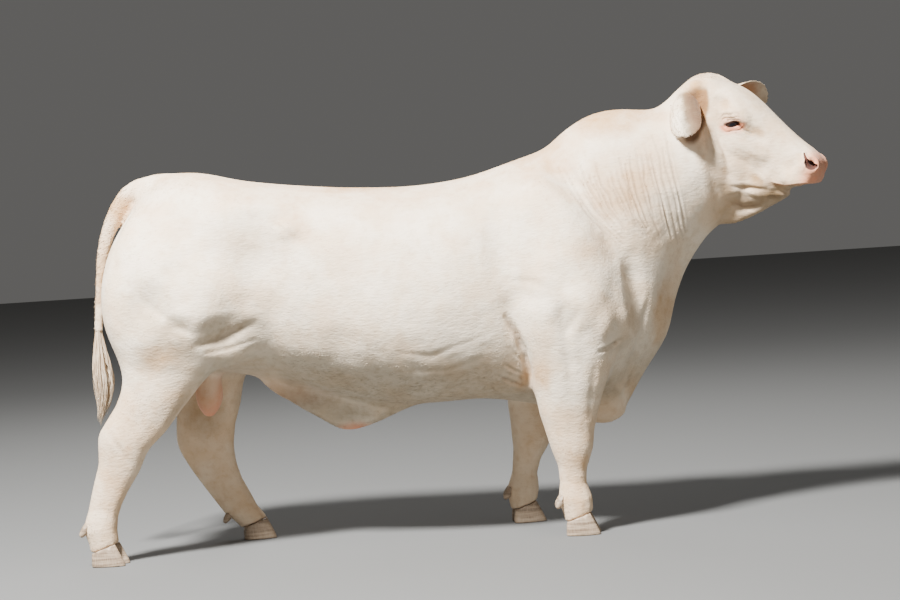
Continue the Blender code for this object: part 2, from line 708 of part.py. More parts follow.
def line_distance(points, line):
    """Distance of each point to a line of segments."""
    line = np.array(line, float)
    nearest = np.full(len(points), np.inf)
    for start, end in zip(line[:-1], line[1:]):
        along = end - start
        t = np.clip((points - start) @ along / (along @ along), 0, 1)[:, None]
        nearest = np.minimum(nearest, np.linalg.norm(points - start - t * along, axis=1))
    return nearest


def sculpt(flesh):
    """Presses the creases and hollows into the fused flesh, along its surface normals."""
    points, normals = read_points(flesh), read_normals(flesh)
    side_view = points[:, [0, 2]]
    faces_aside = np.clip((np.abs(normals[:, 1]) - 0.15) / 0.4, 0, 1)
    depth = np.zeros(len(points))
    for line, half_width, deep in SIDE_CREASES.values():
        depth += deep * np.exp(-((line_distance(side_view, line) / half_width) ** 2)) * faces_aside
    behind = np.clip(-normals[:, 0], 0, 1) * (points[:, 0] < -0.95)
    up_cleft = np.clip((points[:, 2] - CLEFT_LOW) / 0.08, 0, 1) * np.clip((CLEFT_HIGH - points[:, 2]) / 0.12, 0, 1)
    depth += CLEFT_DEPTH * np.exp(-((points[:, 1] / CLEFT_HALF_WIDTH) ** 2)) * behind * up_cleft
    carry = np.array(head_frame().inverted())
    local = points @ carry[:3, :3].T + carry[:3, 3]
    for centre, radii, deep in HEAD_HOLLOWS.values():
        for side in (-1, 1):
            away = (local - np.array(on_side(centre, side))) / np.array(radii)
            depth += deep * np.exp(-((away**2).sum(axis=1)))
    points -= normals * depth[:, None]
    flesh.data.vertices.foreach_set("co", points.ravel())
    flesh.data.update()


def blend(flesh):
    """Smooths the fused forms into one another, more on the body than on the head and the legs."""
    body = flesh.vertex_groups.new(name="body")
    points = read_points(flesh)
    off_head = np.clip((HEAD_BLEND_FROM - points[:, 0]) / BLEND_FADE, 0, 1)
    off_legs = np.clip((points[:, 2] - LEG_BLEND_UNDER) / BLEND_FADE, 0, 1)
    levels = np.round(np.minimum(off_head, off_legs) * BLEND_LEVELS).astype(int)
    for level in range(1, BLEND_LEVELS + 1):
        body.add(np.flatnonzero(levels == level).tolist(), level / BLEND_LEVELS, "REPLACE")
    apply_modifier(flesh, "SMOOTH", factor=0.5, iterations=BODY_BLEND, vertex_group="body")
    apply_modifier(flesh, "SMOOTH", factor=0.5, iterations=HEAD_BLEND)


def fused_flesh():
    forms = [trunk_form(), neck_form(), head_form()]
    forms.append(fold_form("brisket_form", BRISKET, 2.0, 1.6))
    forms.append(fold_form("sheath_form", SHEATH, 2.0, 1.7))
    throat = fold_form("throat_form", THROAT, 2.0, 1.7)
    throat.data.transform(head_frame())
    forms.append(throat)
    for name, (table, _, foot_y, _) in FEET.items():
        forms.append(leg_form(name, table, foot_y))
    forms += head_masses() + body_masses()
    flesh = joined("flesh", forms)
    apply_modifier(flesh, "REMESH", mode="VOXEL", voxel_size=VOXEL)
    blend(flesh)
    sculpt(flesh)
    return largest_body(flesh)


def plane_normal(lean, yaw=0.0):
    """The forward normal of a plane that leans by a run of x and z and is turned about the upright."""
    normal = Vector((-lean[1], 0, lean[0])).normalized()
    return Matrix.Rotation(yaw, 3, "Z") @ normal


def thin_to(obj, triangles):
    obj.data.calc_loop_triangles()
    ratio = triangles / len(obj.data.loop_triangles)
    return apply_modifier(obj, "DECIMATE", decimate_type="COLLAPSE", ratio=ratio, use_collapse_triangulate=True)


def leg_region(name, side, grow):
    """The space that a leg takes, a block with a sloping top, grown on every side."""
    back, front, back_top, front_top, inner, outer, inner_top, outer_top = LEG_CUTS[name]
    inner, outer = side * (inner - grow), side * (outer + grow)
    points = [
        (back - grow, inner, -0.1), (front + grow, inner, -0.1),
        (front + grow, outer, -0.1), (back - grow, outer, -0.1),
        (back_top - grow, inner, inner_top + grow), (front_top + grow, inner, inner_top + grow),
        (front_top + grow, outer, outer_top + grow), (back_top - grow, outer, outer_top + grow),
    ]
    faces = [(0, 1, 2, 3), (4, 5, 6, 7), (0, 1, 5, 4), (1, 2, 6, 5), (2, 3, 7, 6), (3, 0, 4, 7)]
    return face_outwards(object_from(name + "_region", points, faces))


def foot_place(name):
    _, x, y, turn = FEET[name]
    return Matrix.Translation((x, y, 0)) @ Matrix.Rotation(math.radians(turn), 4, "Z")


def coronet_height(x):
    """Height of the top of a claw at a distance forward of the foot's centre."""
    heel = -CLAW_LENGTH / 2 + CORONET_HEEL_FORWARD
    toe = CLAW_LENGTH / 2 - CORONET_TOE_BACK
    return HEEL_HEIGHT + (TOE_HEIGHT - HEEL_HEIGHT) * (x - heel) / (toe - heel)


def claw(name, foot, side):
    """One claw of a foot: a flat sole, a sloping front wall and a top that slopes back to the heel."""
    half_length, half_width = CLAW_LENGTH / 2, CLAW_WIDTH / 2
    centre_y = side * (CLEFT / 2 + half_width)
    top_back, top_front = -half_length + CORONET_HEEL_FORWARD, half_length - CORONET_TOE_BACK
    rings = []
    for share, bevel in CLAW_RINGS:
        ring = []
        for step in range(CLAW_SIDES):
            along, across = superellipse(2 * math.pi * step / CLAW_SIDES, CLAW_SQUARENESS)
            sole_x = (half_length - bevel) * along
            top_x = top_back + (top_front - top_back) * (along + 1) / 2
            x = sole_x + (top_x - sole_x) * share
            wide = half_width - bevel - CORONET_INSET * share
            wide *= 1.0 - TOE_NARROWING * max(along, 0) ** 2
            wide *= INNER_WALL if across * side < 0 else 1.0
            ring.append(Vector((x, centre_y + wide * across, coronet_height(top_x) * share)))
        rings.append(ring)
    made = ring_skin(name, rings)
    made.data.transform(foot_place(foot))
    return made


def dewclaw_form(foot, side):
    """A blunt cone that grows out of the back of the fetlock and points down and back."""
    table, _, foot_y, _ = FEET[foot]
    _, _, back_x, back_z, share, _ = table[FETLOCK_ROW]
    root = Vector((back_x + DEWCLAW_SUNK, foot_y * share + side * DEWCLAW_ASIDE, back_z + DEWCLAW_RAISED))
    along = Vector((-math.cos(DEWCLAW_DROOP), side * DEWCLAW_SPLAY, -math.sin(DEWCLAW_DROOP))).normalized()
    across = along.cross(Vector((0, 0, 1))).normalized()
    up = across.cross(along)
    rings = []
    for reach, swell in DEWCLAW_RINGS:
        centre = root + along * reach
        rings.append([
            centre + (across * math.cos(angle) + up * math.sin(angle)) * DEWCLAW_RADIUS * swell
            for angle in np.linspace(0, 2 * math.pi, DEWCLAW_SIDES, endpoint=False)
        ])
    return ring_skin("dewclaw", rings)


def foot_region(foot):
    """The space under the coronet, which the claws take."""
    reach = 0.12
    points = [
        (x, y, z)
        for x in (-reach, reach)
        for y in (-reach, reach)
        for z in (-0.1, coronet_height(x) + GAP)
    ]
    faces = [(0, 1, 3, 2), (4, 6, 7, 5), (0, 4, 5, 1), (2, 3, 7, 6), (0, 2, 6, 4), (1, 5, 7, 3)]
    made = object_from("foot_region", points, faces)
    made.data.transform(foot_place(foot))
    return face_outwards(made)


def grown_copy(obj, name, by):
    """A copy of a body with its skin moved outwards."""
    made = copy_of(obj, name)
    made.data.vertices.foreach_set("co", (read_points(obj) + read_normals(obj) * by).ravel())
    made.data.update()
    return made


def rooted(obj, *hosts):
    """Trims a piece that grows from others so that it meets their skins face to face."""
    for host in hosts:
        boolean(obj, grown_copy(host, "host", GAP), "DIFFERENCE")
    return largest_body(obj)


def ear(name, root, tip, opening, bow):
    """A cupped ear, rolled at the root and opening to a blade, with a rim that thins."""
    root, tip = Vector(root), Vector(tip)
    along = (tip - root).normalized()
    opening = Vector(opening)
    opening = (opening - along * opening.dot(along)).normalized()
    across = along.cross(opening)
    length = (tip - root).length
    shares, half_widths, rolls = np.array(EAR_SHAPE).T
    rings = []
    for share in np.linspace(0, 1, EAR_RINGS):
        half_width = float(np.interp(share, shares, half_widths))
        roll = math.radians(float(np.interp(share, shares, rolls)))
        radius = half_width / math.sin(min(roll, math.pi / 2))
        centre = root + along * (length * float(share)) + opening * radius
        centre += Vector(bow) * math.sin(math.pi * float(share))
        outer, inner = [], []
        for side in range(EAR_SIDES + 1):
            angle = roll * (2 * side / EAR_SIDES - 1)
            edge = abs(2 * side / EAR_SIDES - 1) ** 3
            thick = EAR_THICKNESS * (1 - edge) * (1 - 0.45 * float(share)) + EAR_RIM * edge
            way = across * math.sin(angle) - opening * math.cos(angle)
            outer.append(centre + way * radius)
            inner.append(centre + way * max(radius - thick, radius * 0.3))
        rings.append(outer + inner[::-1])
    return ring_skin(name, rings)


def row_at(rows, share):
    """A row read at a share of the way down a table that has been smoothed."""
    place = share * (len(rows) - 1)
    low = min(int(place), len(rows) - 2)
    return rows[low] + (rows[low + 1] - rows[low]) * (place - low)


def lock(rows, start, end, angle, drift, lift):
    """A flat, tapering lock of hair that lies down the switch's outline."""
    rings = []
    for step in range(LOCK_RINGS):
        share = step / (LOCK_RINGS - 1)
        x, z, half_depth, half_width = row_at(rows, start + (end - start) * share)
        turn = angle + drift * share
        reach = SWITCH_CORE + (1.0 + lift * share - SWITCH_CORE) * min(share * 2.5, 1.0) - 0.12
        away = Vector((math.cos(turn) * half_depth, math.sin(turn) * half_width, 0)) * reach
        out = away.normalized() if away.length > 0 else Vector((1, 0, 0))
        side = out.cross(Vector((0, 0, 1)))
        swell = math.sin(math.pi * (0.18 + 0.80 * share)) ** 0.6
        wide = max(LOCK_HALF_WIDTH * swell, 0.0012)
        thick = max(LOCK_HALF_THICKNESS * swell, 0.0008)
        centre = Vector((x, 0, z)) + away
        rings.append([centre + side * wide, centre + out * thick, centre - side * wide, centre - out * thick])
    return ring_skin("lock", rings)


def switch():
    """The tail's tassel: a core with locks set round it from the dock down, fused into one body."""
    rows = smooth_rows(SWITCH, 40, 2)
    core_rows = np.array([row_at(rows, share) for share in np.linspace(0, SWITCH_CORE_END, 8)])
    narrowing = np.linspace(1.0, SWITCH_CORE, 8) ** np.array([0, 0.6, 1, 1, 1, 1.2, 1.8, 4.0])
    core_rows[:, 2:] *= narrowing[:, None]
    made = hanging_loft("tail_switch", core_rows, 10, 9)
    draw = np.random.default_rng(LOCK_SEED)
    pieces = bpy.data.collections.new("locks")
    bpy.context.scene.collection.children.link(pieces)
    for number in range(SWITCH_LOCKS):
        angle = number * math.radians(137.5) + draw.uniform(-0.2, 0.2)
        start = 0.10 + 0.42 * (number / SWITCH_LOCKS) + draw.uniform(-0.02, 0.02)
        end = min(start + draw.uniform(0.42, 0.60), 1.0)
        made_lock = lock(rows, start, end, angle, draw.uniform(-0.5, 0.5), draw.uniform(0.0, 0.12))
        bpy.context.scene.collection.objects.unlink(made_lock)
        pieces.objects.link(made_lock)
    apply_modifier(made, "BOOLEAN", operation="UNION", solver="EXACT", operand_type="COLLECTION", collection=pieces)
    for piece in list(pieces.objects):
        bpy.data.objects.remove(piece)
    bpy.data.collections.remove(pieces)
    return largest_body(tidy_mesh(made))


def eye_place(side):
    """Frame of an eye: z out along its look, x along the slit towards the nose."""
    look = on_side(EYE_LOOK, side)
    forward = Vector((math.cos(SLIT_SLANT), 0, math.sin(SLIT_SLANT)))
    forward = (forward - look * forward.dot(look)).normalized()
    up = look.cross(forward)
    turn = Matrix((forward, up, look)).transposed().to_4x4()
    return head_frame() @ Matrix.Translation(on_side(EYE_AT, side)) @ turn


def eye_ball(name, side, radius):
    shape = bmesh.new()
    bmesh.ops.create_uvsphere(shape, u_segments=EYE_SIDES, v_segments=EYE_RINGS, radius=radius)
    shape.transform(eye_place(side))
    return object_of(name, shape)


def eye_slit(name, side):
    """The opening between the lids, an almond that reaches from inside the eye to beyond the lids."""
    corners = 16
    rings = []
    for depth in (0.0, EYE_RADIUS * 2.2):
        flare = 1.0 + 0.15 * depth / EYE_RADIUS
        ring = []
        for step in range(corners):
            angle = 2 * math.pi * step / corners
            x = math.cos(angle) * SLIT_LENGTH / 2
            y = math.sin(angle) * abs(math.sin(angle)) ** 0.5 * SLIT_HEIGHT / 2
            ring.append(eye_place(side) @ Vector((x * flare, y * flare, depth)))
        rings.append(ring)
    return ring_skin(name, rings)


def open_eye(head, side):
    """Lays lids over the eye, hollows the socket and opens the slit."""
    boolean(head, eye_ball("lids", side, EYE_RADIUS + LID_THICKNESS), "UNION")
    boolean(head, eye_ball("socket", side, EYE_RADIUS + GAP), "DIFFERENCE")
    boolean(head, eye_slit("slit", side), "DIFFERENCE")


def nostril_place(head, side):
    """Frame of a nostril on the muzzle's skin: z out of the skin, x forward along the muzzle."""
    look = on_side(NOSTRIL_LOOK, side)
    into_head = head_frame().inverted()
    start = head_frame() @ (on_side(NOSTRIL_AT, side) + look * 0.2)
    _, hit, _, _ = head.ray_cast(start, head_frame().to_3x3() @ -look)
    forward = Vector((0.88, 0, -0.48))
    forward = (forward - look * forward.dot(look)).normalized()
    turn = Matrix((forward, look.cross(forward), look)).transposed().to_4x4()
    return head_frame() @ Matrix.Translation(into_head @ hit) @ turn


def open_nostril(head, side):
    """Hollows a nostril shaped like a comma."""
    place = nostril_place(head, side)
    pocket = ball("nostril", (0, 0, 0), NOSTRIL_POCKET, Matrix.Rotation(side * NOSTRIL_SLANT, 4, "Z"), 14, 8)
    back = Vector((-NOSTRIL_SLIT_BACK, side * NOSTRIL_SLIT_UP, 0))
    slit = ball("slit", back, NOSTRIL_SLIT, Matrix.Rotation(-side * NOSTRIL_SLIT_SLANT, 4, "Z"), 10, 6)
    boolean(pocket, slit, "UNION")
    pocket.data.transform(place)
    boolean(head, pocket, "DIFFERENCE")


def part_lips(head):
    """Cuts the line of the mouth round the muzzle, from corner to corner."""
    left = [Vector(point) for point in MOUTH_LINE]
    line = left + [on_side(point, -1) for point in reversed(left[:-1])]
    rings = []
    for step, (x, y, z) in enumerate(smooth_rows([tuple(point) for point in line], MOUTH_STEPS, 3)):
        point = Vector((x, y, z))
        out = Vector((x - MOUTH_MIDDLE, y, 0)).normalized()
        # The line is shallow and narrow at its two corners.
        share = MOUTH_CORNER + (1 - MOUTH_CORNER) * math.sin(math.pi * step / (MOUTH_STEPS - 1)) ** 0.5
        inside, outside = point - out * MOUTH_DEPTH * share, point + out * MOUTH_DEPTH
        gape = Vector((0, 0, MOUTH_GAPE * share))
        rings.append([inside + gape * MOUTH_PINCH, outside + gape, outside - gape, inside - gape * MOUTH_PINCH])
    cutter = ring_skin("mouth_line", rings)
    cutter.data.transform(head_frame())
    boolean(head, cutter, "DIFFERENCE")


def finish(obj, name, look):
    obj.name = name
    obj.data.name = name
    obj.data.materials.clear()
    obj.data.materials.append(look)
    obj.data.polygons.foreach_set("use_smooth", [True] * len(obj.data.polygons))
    return obj


def settle_origins(nodes):
    """Moves the whole to stand over the middle of its bounds, with each node's origin at its own middle."""
    lows = [read_points(node).min(axis=0) for node in nodes]
    highs = [read_points(node).max(axis=0) for node in nodes]
    low, high = np.min(lows, axis=0), np.max(highs, axis=0)
    shift = Vector((-(low[0] + high[0]) / 2, -(low[1] + high[1]) / 2, -low[2]))
    for node, node_low, node_high in zip(nodes, lows, highs):
        middle = Vector((node_low + node_high) / 2)
        node.data.transform(Matrix.Translation(-middle))
        node.location = middle + shift
    return shift


def main():
    clear_scene()
    coat, pink = material("cream_coat", COAT), material("pink_skin", PINK_SKIN)
    tail_hair, horn = material("tail_hair", TAIL_HAIR), material("horn", HORN)
    eye_dark, ear_coat = material("eye_dark", EYE_DARK), material("ear_coat", EAR_COAT)

    flesh = fused_flesh()
    head_point, head_normal = Vector(HEAD_CUT[0]), plane_normal(HEAD_CUT[1], HEAD_CUT_YAW)
    neck_point, neck_normal = Vector(NECK_CUT[0]), plane_normal(NECK_CUT[1])
    margin = head_normal * 0.012

    head = cut_off(flesh, "head", head_point - margin, head_normal, keep=True)
    head = cut_off(thin_to(head, HEAD_TRIANGLES), "head", head_point + head_normal * GAP, head_normal)
    behind = thin_to(cut_off(flesh, "behind", head_point + margin, -head_normal), BODY_TRIANGLES)
    behind = cut_off(behind, "behind", head_point, -head_normal)

    neck = cut_off(behind, "neck", neck_point + neck_normal * GAP, neck_normal, keep=True)
    torso = cut_off(behind, "torso", neck_point, -neck_normal)
    finish(neck, "neck", coat)

    legs = {}
    for name, (_, _, foot_y, _) in FEET.items():
        side = 1 if foot_y > 0 else -1
        leg = boolean(copy_of(torso, "leg_" + name), leg_region(name, side, 0.0), "INTERSECT")
        boolean(leg, foot_region(name), "DIFFERENCE")
        legs[name] = largest_body(leg)
    for name, (_, _, foot_y, _) in FEET.items():
        boolean(torso, leg_region(name, 1 if foot_y > 0 else -1, GAP), "DIFFERENCE")
    finish(largest_body(torso), "torso", coat)

    for name, leg in legs.items():
        for claw_name, claw_side in (("right", -1), ("left", 1)):
            finish(claw(name, name, claw_side), "claw_%s_%s" % (name, claw_name), horn)
            dewclaw = rooted(dewclaw_form(name, claw_side), leg)
            finish(dewclaw, "dewclaw_%s_%s" % (name, claw_name), horn)
        finish(leg, "leg_" + name, coat)

    for name, side in (("right", -1), ("left", 1)):
        open_eye(head, side)
        open_nostril(head, side)
        finish(eye_ball("eye", side, EYE_RADIUS), "eye_" + name, eye_dark)
    part_lips(head)
    largest_body(head)
    for name in EARS:
        finish(rooted(ear(name, *EARS[name]), head, neck), "ear_" + name, ear_coat)
    finish(head, "head", coat)

    tail = rooted(hanging_loft("tail", TAIL, 12, 13), torso)
    finish(tail, "tail", coat)
    finish(rooted(switch(), tail), "tail_switch", tail_hair)
    scrotum = hanging_loft("scrotum", SCROTUM, 14, 9)
    finish(rooted(scrotum, torso, legs["hind_right"], legs["hind_left"]), "scrotum", pink)

    settle_origins([obj for obj in bpy.data.objects if obj.type == "MESH"])


main()
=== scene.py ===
"""Looks of the standing Charolais bull: one skin with its folds, hair in tufts, eyes and claws."""

import contextlib
import itertools
import math

import bmesh
import bpy
import numpy as np
from mathutils import Matrix, Vector
from mathutils.bvhtree import BVHTree


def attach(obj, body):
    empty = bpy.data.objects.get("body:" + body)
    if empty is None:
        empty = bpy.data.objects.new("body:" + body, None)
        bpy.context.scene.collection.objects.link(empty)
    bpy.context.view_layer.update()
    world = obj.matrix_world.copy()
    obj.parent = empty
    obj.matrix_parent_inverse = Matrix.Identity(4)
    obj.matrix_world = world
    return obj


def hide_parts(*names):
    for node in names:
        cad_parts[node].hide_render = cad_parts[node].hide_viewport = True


# How the named places, given from the middle of the trunk, lie in the frame
SHIFT = np.array((-0.0078, -0.0023, 0.0))

# The head's own frame: x down the face, y to its left, z out of the forehead
POLL = (0.985, -0.03, 1.615)
HEAD_YAW, HEAD_PITCH, HEAD_ROLL = math.radians(-25.0), math.radians(39.5), math.radians(4.0)
HEAD_CUT = ((0.86, -0.02, 1.56), (0.125, -0.51))

# Skin
FLESH = (
    "torso neck head tail scrotum leg_front_right leg_front_left leg_hind_right leg_hind_left".split()
)
OVERLAP = 0.0005
VOXEL = 0.0078
SKIN_TRIANGLES = 470000
EAR_VOXEL = 0.0022
COAT_DEPTH = 0.0022
SIDES = (-1, 1)

# Eyes, in the head's frame
SOCKET_AT, SOCKET_RADIUS = (0.211, 0.094, -0.052), 0.0221
EYE_REGION = (0.215, 0.1, -0.055, 0.075, 0.06, 0.06)
EYE_AT = (0.206, 0.095, -0.056)
EYE_LOOK = (0.3, 0.93, 0.06)
SLIT_LENGTH, SLIT_HEIGHT, SLIT_SLANT = 0.051, 0.021, math.radians(43.0)
SLIT_SINK = 0.012
EYE_RADII = (0.0285, 0.0205, 0.0205)

# Nostrils and lips, in the head's frame
NOSTRIL_AT = (0.52, 0.056, -0.011)
NOSTRIL_LOOK = (0.52, 0.82, 0.24)
NOSTRIL_BALL, NOSTRIL_BALL_DEPTH = 0.018, 0.012
MOUTH = (
    (0.425, 0.072, -0.16),
    (0.45, 0.078, -0.15),
    (0.49, 0.077, -0.13),
    (0.525, 0.067, -0.098),
    (0.55, 0.046, -0.078),
    (0.562, 0.022, -0.07),
    (0.566, 0.0, -0.068),
)

# Folds of the neck's side: the ends of the first, middle and last, as x and z
FOLD_GUIDES = (
    (0.405, 1.35, 0.65, 0.99),
    (0.62, 1.33, 0.705, 1.06),
    (0.8, 1.45, 0.88, 1.0),
)
FOLD_COUNT, FOLD_DEPTH = 21, 0.0028
FOLD_WIDTH = 0.0034

FORM_GAIN = 1.5

# Soft masses and hollows on both sides: x, z, their half lengths, and lift
SIDE_FORMS = (
    (0.45, 1.09, 0.15, 0.19, 0.01),
    (0.31, 0.8, 0.1, 0.15, 0.01),
    (0.47, 0.84, 0.09, 0.12, 0.007),
    (0.4, 0.78, 0.06, 0.08, -0.006),
    (0.19, 1.06, 0.08, 0.2, -0.008),
    (0.02, 1.0, 0.15, 0.28, 0.004),
    (-0.22, 0.86, 0.3, 0.2, 0.005),
    (-1.05, 1.12, 0.14, 0.16, 0.009),
    (-0.83, 0.98, 0.15, 0.14, 0.008),
    (-1.06, 0.93, 0.09, 0.09, -0.01),
    (-0.68, 1.08, 0.1, 0.18, -0.009),
    (-0.79, 0.8, 0.14, 0.09, -0.013),
    (-0.9, 0.88, 0.09, 0.07, 0.006),
    (-0.56, 1.16, 0.06, 0.05, 0.009),
    (-0.62, 1.25, 0.14, 0.05, 0.004),
    (-0.96, 0.84, 0.06, 0.05, -0.005),
    (-1.1, 0.78, 0.08, 0.1, 0.006),
    (0.66, 0.86, 0.05, 0.18, -0.008),
    (0.56, 0.74, 0.06, 0.1, 0.007),
    (-0.4, 0.74, 0.1, 0.12, -0.004),
)

# Lines of both sides as x and z, with width, depth, how much is drawn up beside them, and how much painted
# shade darkens the crease
SIDE_LINES = (
    (((0.195, 0.8), (0.23, 0.73), (0.25, 0.67), (0.262, 0.61), (0.266, 0.55)), 0.0085, 0.013, 0.5, 0.75),
    (((0.15, 0.59), (0.205, 0.555), (0.255, 0.535)), 0.005, 0.0045, 0.5, 0.35),
    (((0.18, 0.63), (0.215, 0.6), (0.25, 0.585)), 0.004, 0.0035, 0.5, 0.3),
    (((0.215, 0.67), (0.235, 0.645), (0.258, 0.63)), 0.0035, 0.003, 0.5, 0.3),
    (((0.215, 0.93), (0.29, 0.922), (0.35, 0.893)), 0.011, 0.0045, 0.4, 0.1),
    (((0.445, 0.8), (0.425, 0.77), (0.405, 0.735)), 0.012, 0.0045, 0.3, 0.1),
    (((0.51, 0.655), (0.555, 0.668), (0.6, 0.69)), 0.005, 0.006, 0.6, 0.45),
    (((0.395, 1.33), (0.52, 1.16), (0.635, 0.99), (0.675, 0.83), (0.68, 0.68)), 0.024, 0.0075, 0.3, 0.06),
    (((-0.93, 0.63), (-0.86, 0.675), (-0.72, 0.685), (-0.58, 0.645), (-0.45, 0.575)), 0.015, -0.006, 0, 0),
    (((-0.9, 0.77), (-0.81, 0.79), (-0.7, 0.835)), 0.015, 0.0095, 0.3, 0.35),
    (((-0.88, 0.74), (-0.8, 0.75), (-0.7, 0.775)), 0.007, 0.0035, 0.5, 0.1),
    (((-1.09, 0.95), (-1.02, 0.89), (-0.96, 0.845)), 0.016, 0.005, 0.3, 0.06),
    (((-0.99, 0.845), (-0.95, 0.835), (-0.91, 0.81)), 0.008, 0.0035, 0.4, 0.1),
    (((-0.6, 1.19), (-0.555, 1.145), (-0.52, 1.11)), 0.01, 0.0035, 0.4, 0.06),
    (((0.395, 0.83), (0.402, 0.67), (0.41, 0.49)), 0.016, 0.004, 0.3, 0.04),
    (((0.5, 0.62), (0.485, 0.52), (0.47, 0.42)), 0.012, 0.0035, 0.3, 0.04),
    (((0.715, 0.83), (0.665, 0.65), (0.605, 0.52)), 0.013, 0.0055, 0.5, 0.12),
    (((0.585, 0.42), (0.615, 0.47), (0.635, 0.54)), 0.008, 0.005, 0.5, 0.2),
    (((-0.41, 0.6), (-0.23, 0.56), (-0.05, 0.58)), 0.008, 0.0025, 0.5, 0.05),
    (((-0.2, 0.7), (-0.08, 0.68), (0.02, 0.71), (0.12, 0.74)), 0.009, 0.002, 0.5, 0.03),
    (((-0.14, 0.63), (-0.02, 0.62), (0.1, 0.66)), 0.008, 0.0022, 0.5, 0.03),
    (((-1.24, 0.47), (-1.205, 0.42), (-1.18, 0.36)), 0.007, 0.0035, 0.5, 0.15),
    (((-1.12, 1.26), (-1.16, 1.215), (-1.19, 1.15)), 0.008, 0.006, 0.4, 0.45),
)

# Forms of the head, mirrored: place, half lengths and lift
HEAD_FORMS = (
    (0.305, -0.085, -0.04, 0.055, 0.05, 0.035, -0.0055),
    (0.13, -0.11, -0.02, 0.04, 0.04, 0.03, -0.005),
    (0.205, -0.118, -0.022, 0.05, 0.035, 0.018, 0.004),
    (0.265, -0.11, -0.15, 0.09, 0.05, 0.075, 0.006),
    (0.418, -0.085, -0.228, 0.05, 0.05, 0.03, 0.008),
    (0.385, -0.08, -0.125, 0.04, 0.045, 0.06, -0.0035),
    (0.48, -0.075, -0.095, 0.055, 0.04, 0.042, 0.005),
    (0.32, -0.105, -0.18, 0.07, 0.055, 0.04, 0.003),
    (0.04, -0.07, 0.0, 0.06, 0.05, 0.05, 0.003),
    (0.47, -0.05, 0.01, 0.04, 0.035, 0.022, -0.0025),
    (0.54, -0.066, -0.04, 0.028, 0.03, 0.024, 0.003),
    (0.305, -0.095, -0.095, 0.1, 0.045, 0.028, 0.003),
)

# Creases of the right of the face, mirrored: line, width, depth and how much painted shade darkens them
FACE_LINES = (
    (
        ((0.345, -0.115, -0.235), (0.365, -0.108, -0.226), (0.392, -0.092, -0.209), (0.438, -0.066, -0.186)),
        0.0075,
        0.006,
        0.5,
    ),
    (((0.364, -0.128, -0.279), (0.421, -0.106, -0.275), (0.459, -0.081, -0.245)), 0.01, 0.006, 0.45),
    (((0.377, -0.056, -0.098), (0.417, -0.055, -0.136), (0.44, -0.06, -0.165)), 0.012, 0.0028, 0.08),
)

# The nostril's comma from its thin end, and the way it opens
NOSTRIL = (
    (0.485, -0.072, 0.009),
    (0.495, -0.073, -0.002),
    (0.508, -0.071, -0.013),
    (0.522, -0.066, -0.017),
    (0.533, -0.06, -0.013),
    (0.538, -0.057, -0.009),
)
NOSTRIL_SHARES = (0.0, 0.3, 0.45, 0.62, 0.85, 1.0)
NOSTRIL_WIDTHS = (0.0028, 0.0048, 0.01, 0.0155, 0.0135, 0.007)
NOSTRIL_OUT = (0.42, -0.8, 0.05)
NOSTRIL_DEPTH, NOSTRIL_RIM = 0.017, 0.0026
FACE_WAY = (0.33, -0.88, 0.33)
MOUTH_WIDTH, MOUTH_GROOVE, MOUTH_LIP = 0.0032, 0.0085, 0.0018
LIP_OVERHANG, CHIN_DEPTH = 0.0045, 0.01
MOUTH_FLAT = np.array((1.0, 0.25, 1.0))
TEAR_LINE = (
    (0.224, -0.121, -0.038),
    (0.246, -0.117, -0.04),
    (0.262, -0.112, -0.043),
    (0.29, -0.101, -0.04),
)
TEAR_WIDTH, TEAR_DEPTH = 0.004, 0.0026

# Rows of the lids: how far out from the slit's edge, how much they follow the skin, and lift
LID_STEPS, RAY_START = 72, 0.08
LID_ROWS = (
    (0.985, 0.0, -0.002),
    (0.99, 0.0, 0.001),
    (1.06, 0.2, 0.0026),
    (1.18, 0.45, 0.0034),
    (1.36, 0.75, 0.0026),
    (1.6, 1.0, 0.001),
    (1.85, 1.0, -0.003),
    (1.5, 1.0, -0.01),
    (1.0, 0.0, -0.008),
)

# Wrinkles round the eye: reach, as a share of the slit, width and depth
LID_WRINKLES = ((1.75, 0.1, 0.003), (2.25, 0.11, 0.0028), (2.85, 0.13, 0.0024), (-2.2, 0.12, 0.002))

# Ears: root, tip and the way each opens
EARS = {
    "ear_right": ((0.894, -0.092, 1.588), (0.892, -0.258, 1.404), (0.5, 0.6, -0.62)),
    "ear_left": ((1.01, 0.08, 1.536), (1.236, 0.206, 1.538), (0.45, -0.8, -0.25)),
}
EAR_ROOT_RADIUS = 0.022

# The switch from its top: x, z, half depth and half width
SWITCH = (
    (-1.2952, 0.9, 0.017, 0.018),
    (-1.296, 0.824, 0.018, 0.019),
    (-1.298, 0.76, 0.025, 0.028),
    (-1.296, 0.7, 0.036, 0.038),
    (-1.293, 0.644, 0.04, 0.042),
    (-1.293, 0.603, 0.034, 0.036),
    (-1.299, 0.561, 0.024, 0.026),
    (-1.314, 0.495, 0.006, 0.007),
)
SWITCH_LOCKS, SWITCH_CLUMPS, LOCK_STEPS, LOCK_SIDES = 520, 26, 10, 5

# Colours of the coat; the grey is mostly painted shade, and also greys the switch's locks and the stripes
# behind the cheek; the dark one paints shade in creases, nostrils, under the upper lids and on the near
# ear's back, besides the lid rims and tear streaks
CREAM = (0.9, 0.76, 0.58)
CREAM_DEEP = (0.82, 0.63, 0.43)
BEIGE = (0.62, 0.44, 0.27)
GREY_AND_PAINTED_SHADE = (0.2, 0.155, 0.095)
TAN = (0.5, 0.255, 0.075)
PINK = (0.78, 0.29, 0.15)
DARK = (0.075, 0.022, 0.012)
MARK_TONES = {"shade": (GREY_AND_PAINTED_SHADE, 1.1), "tan": (TAN, 1.2), "pink": (PINK, 1.0), "dark": (DARK, 1.0)}
SHEEN = {"Sheen Weight": 0.12, "Sheen Tint": (1.0, 0.95, 0.88)}

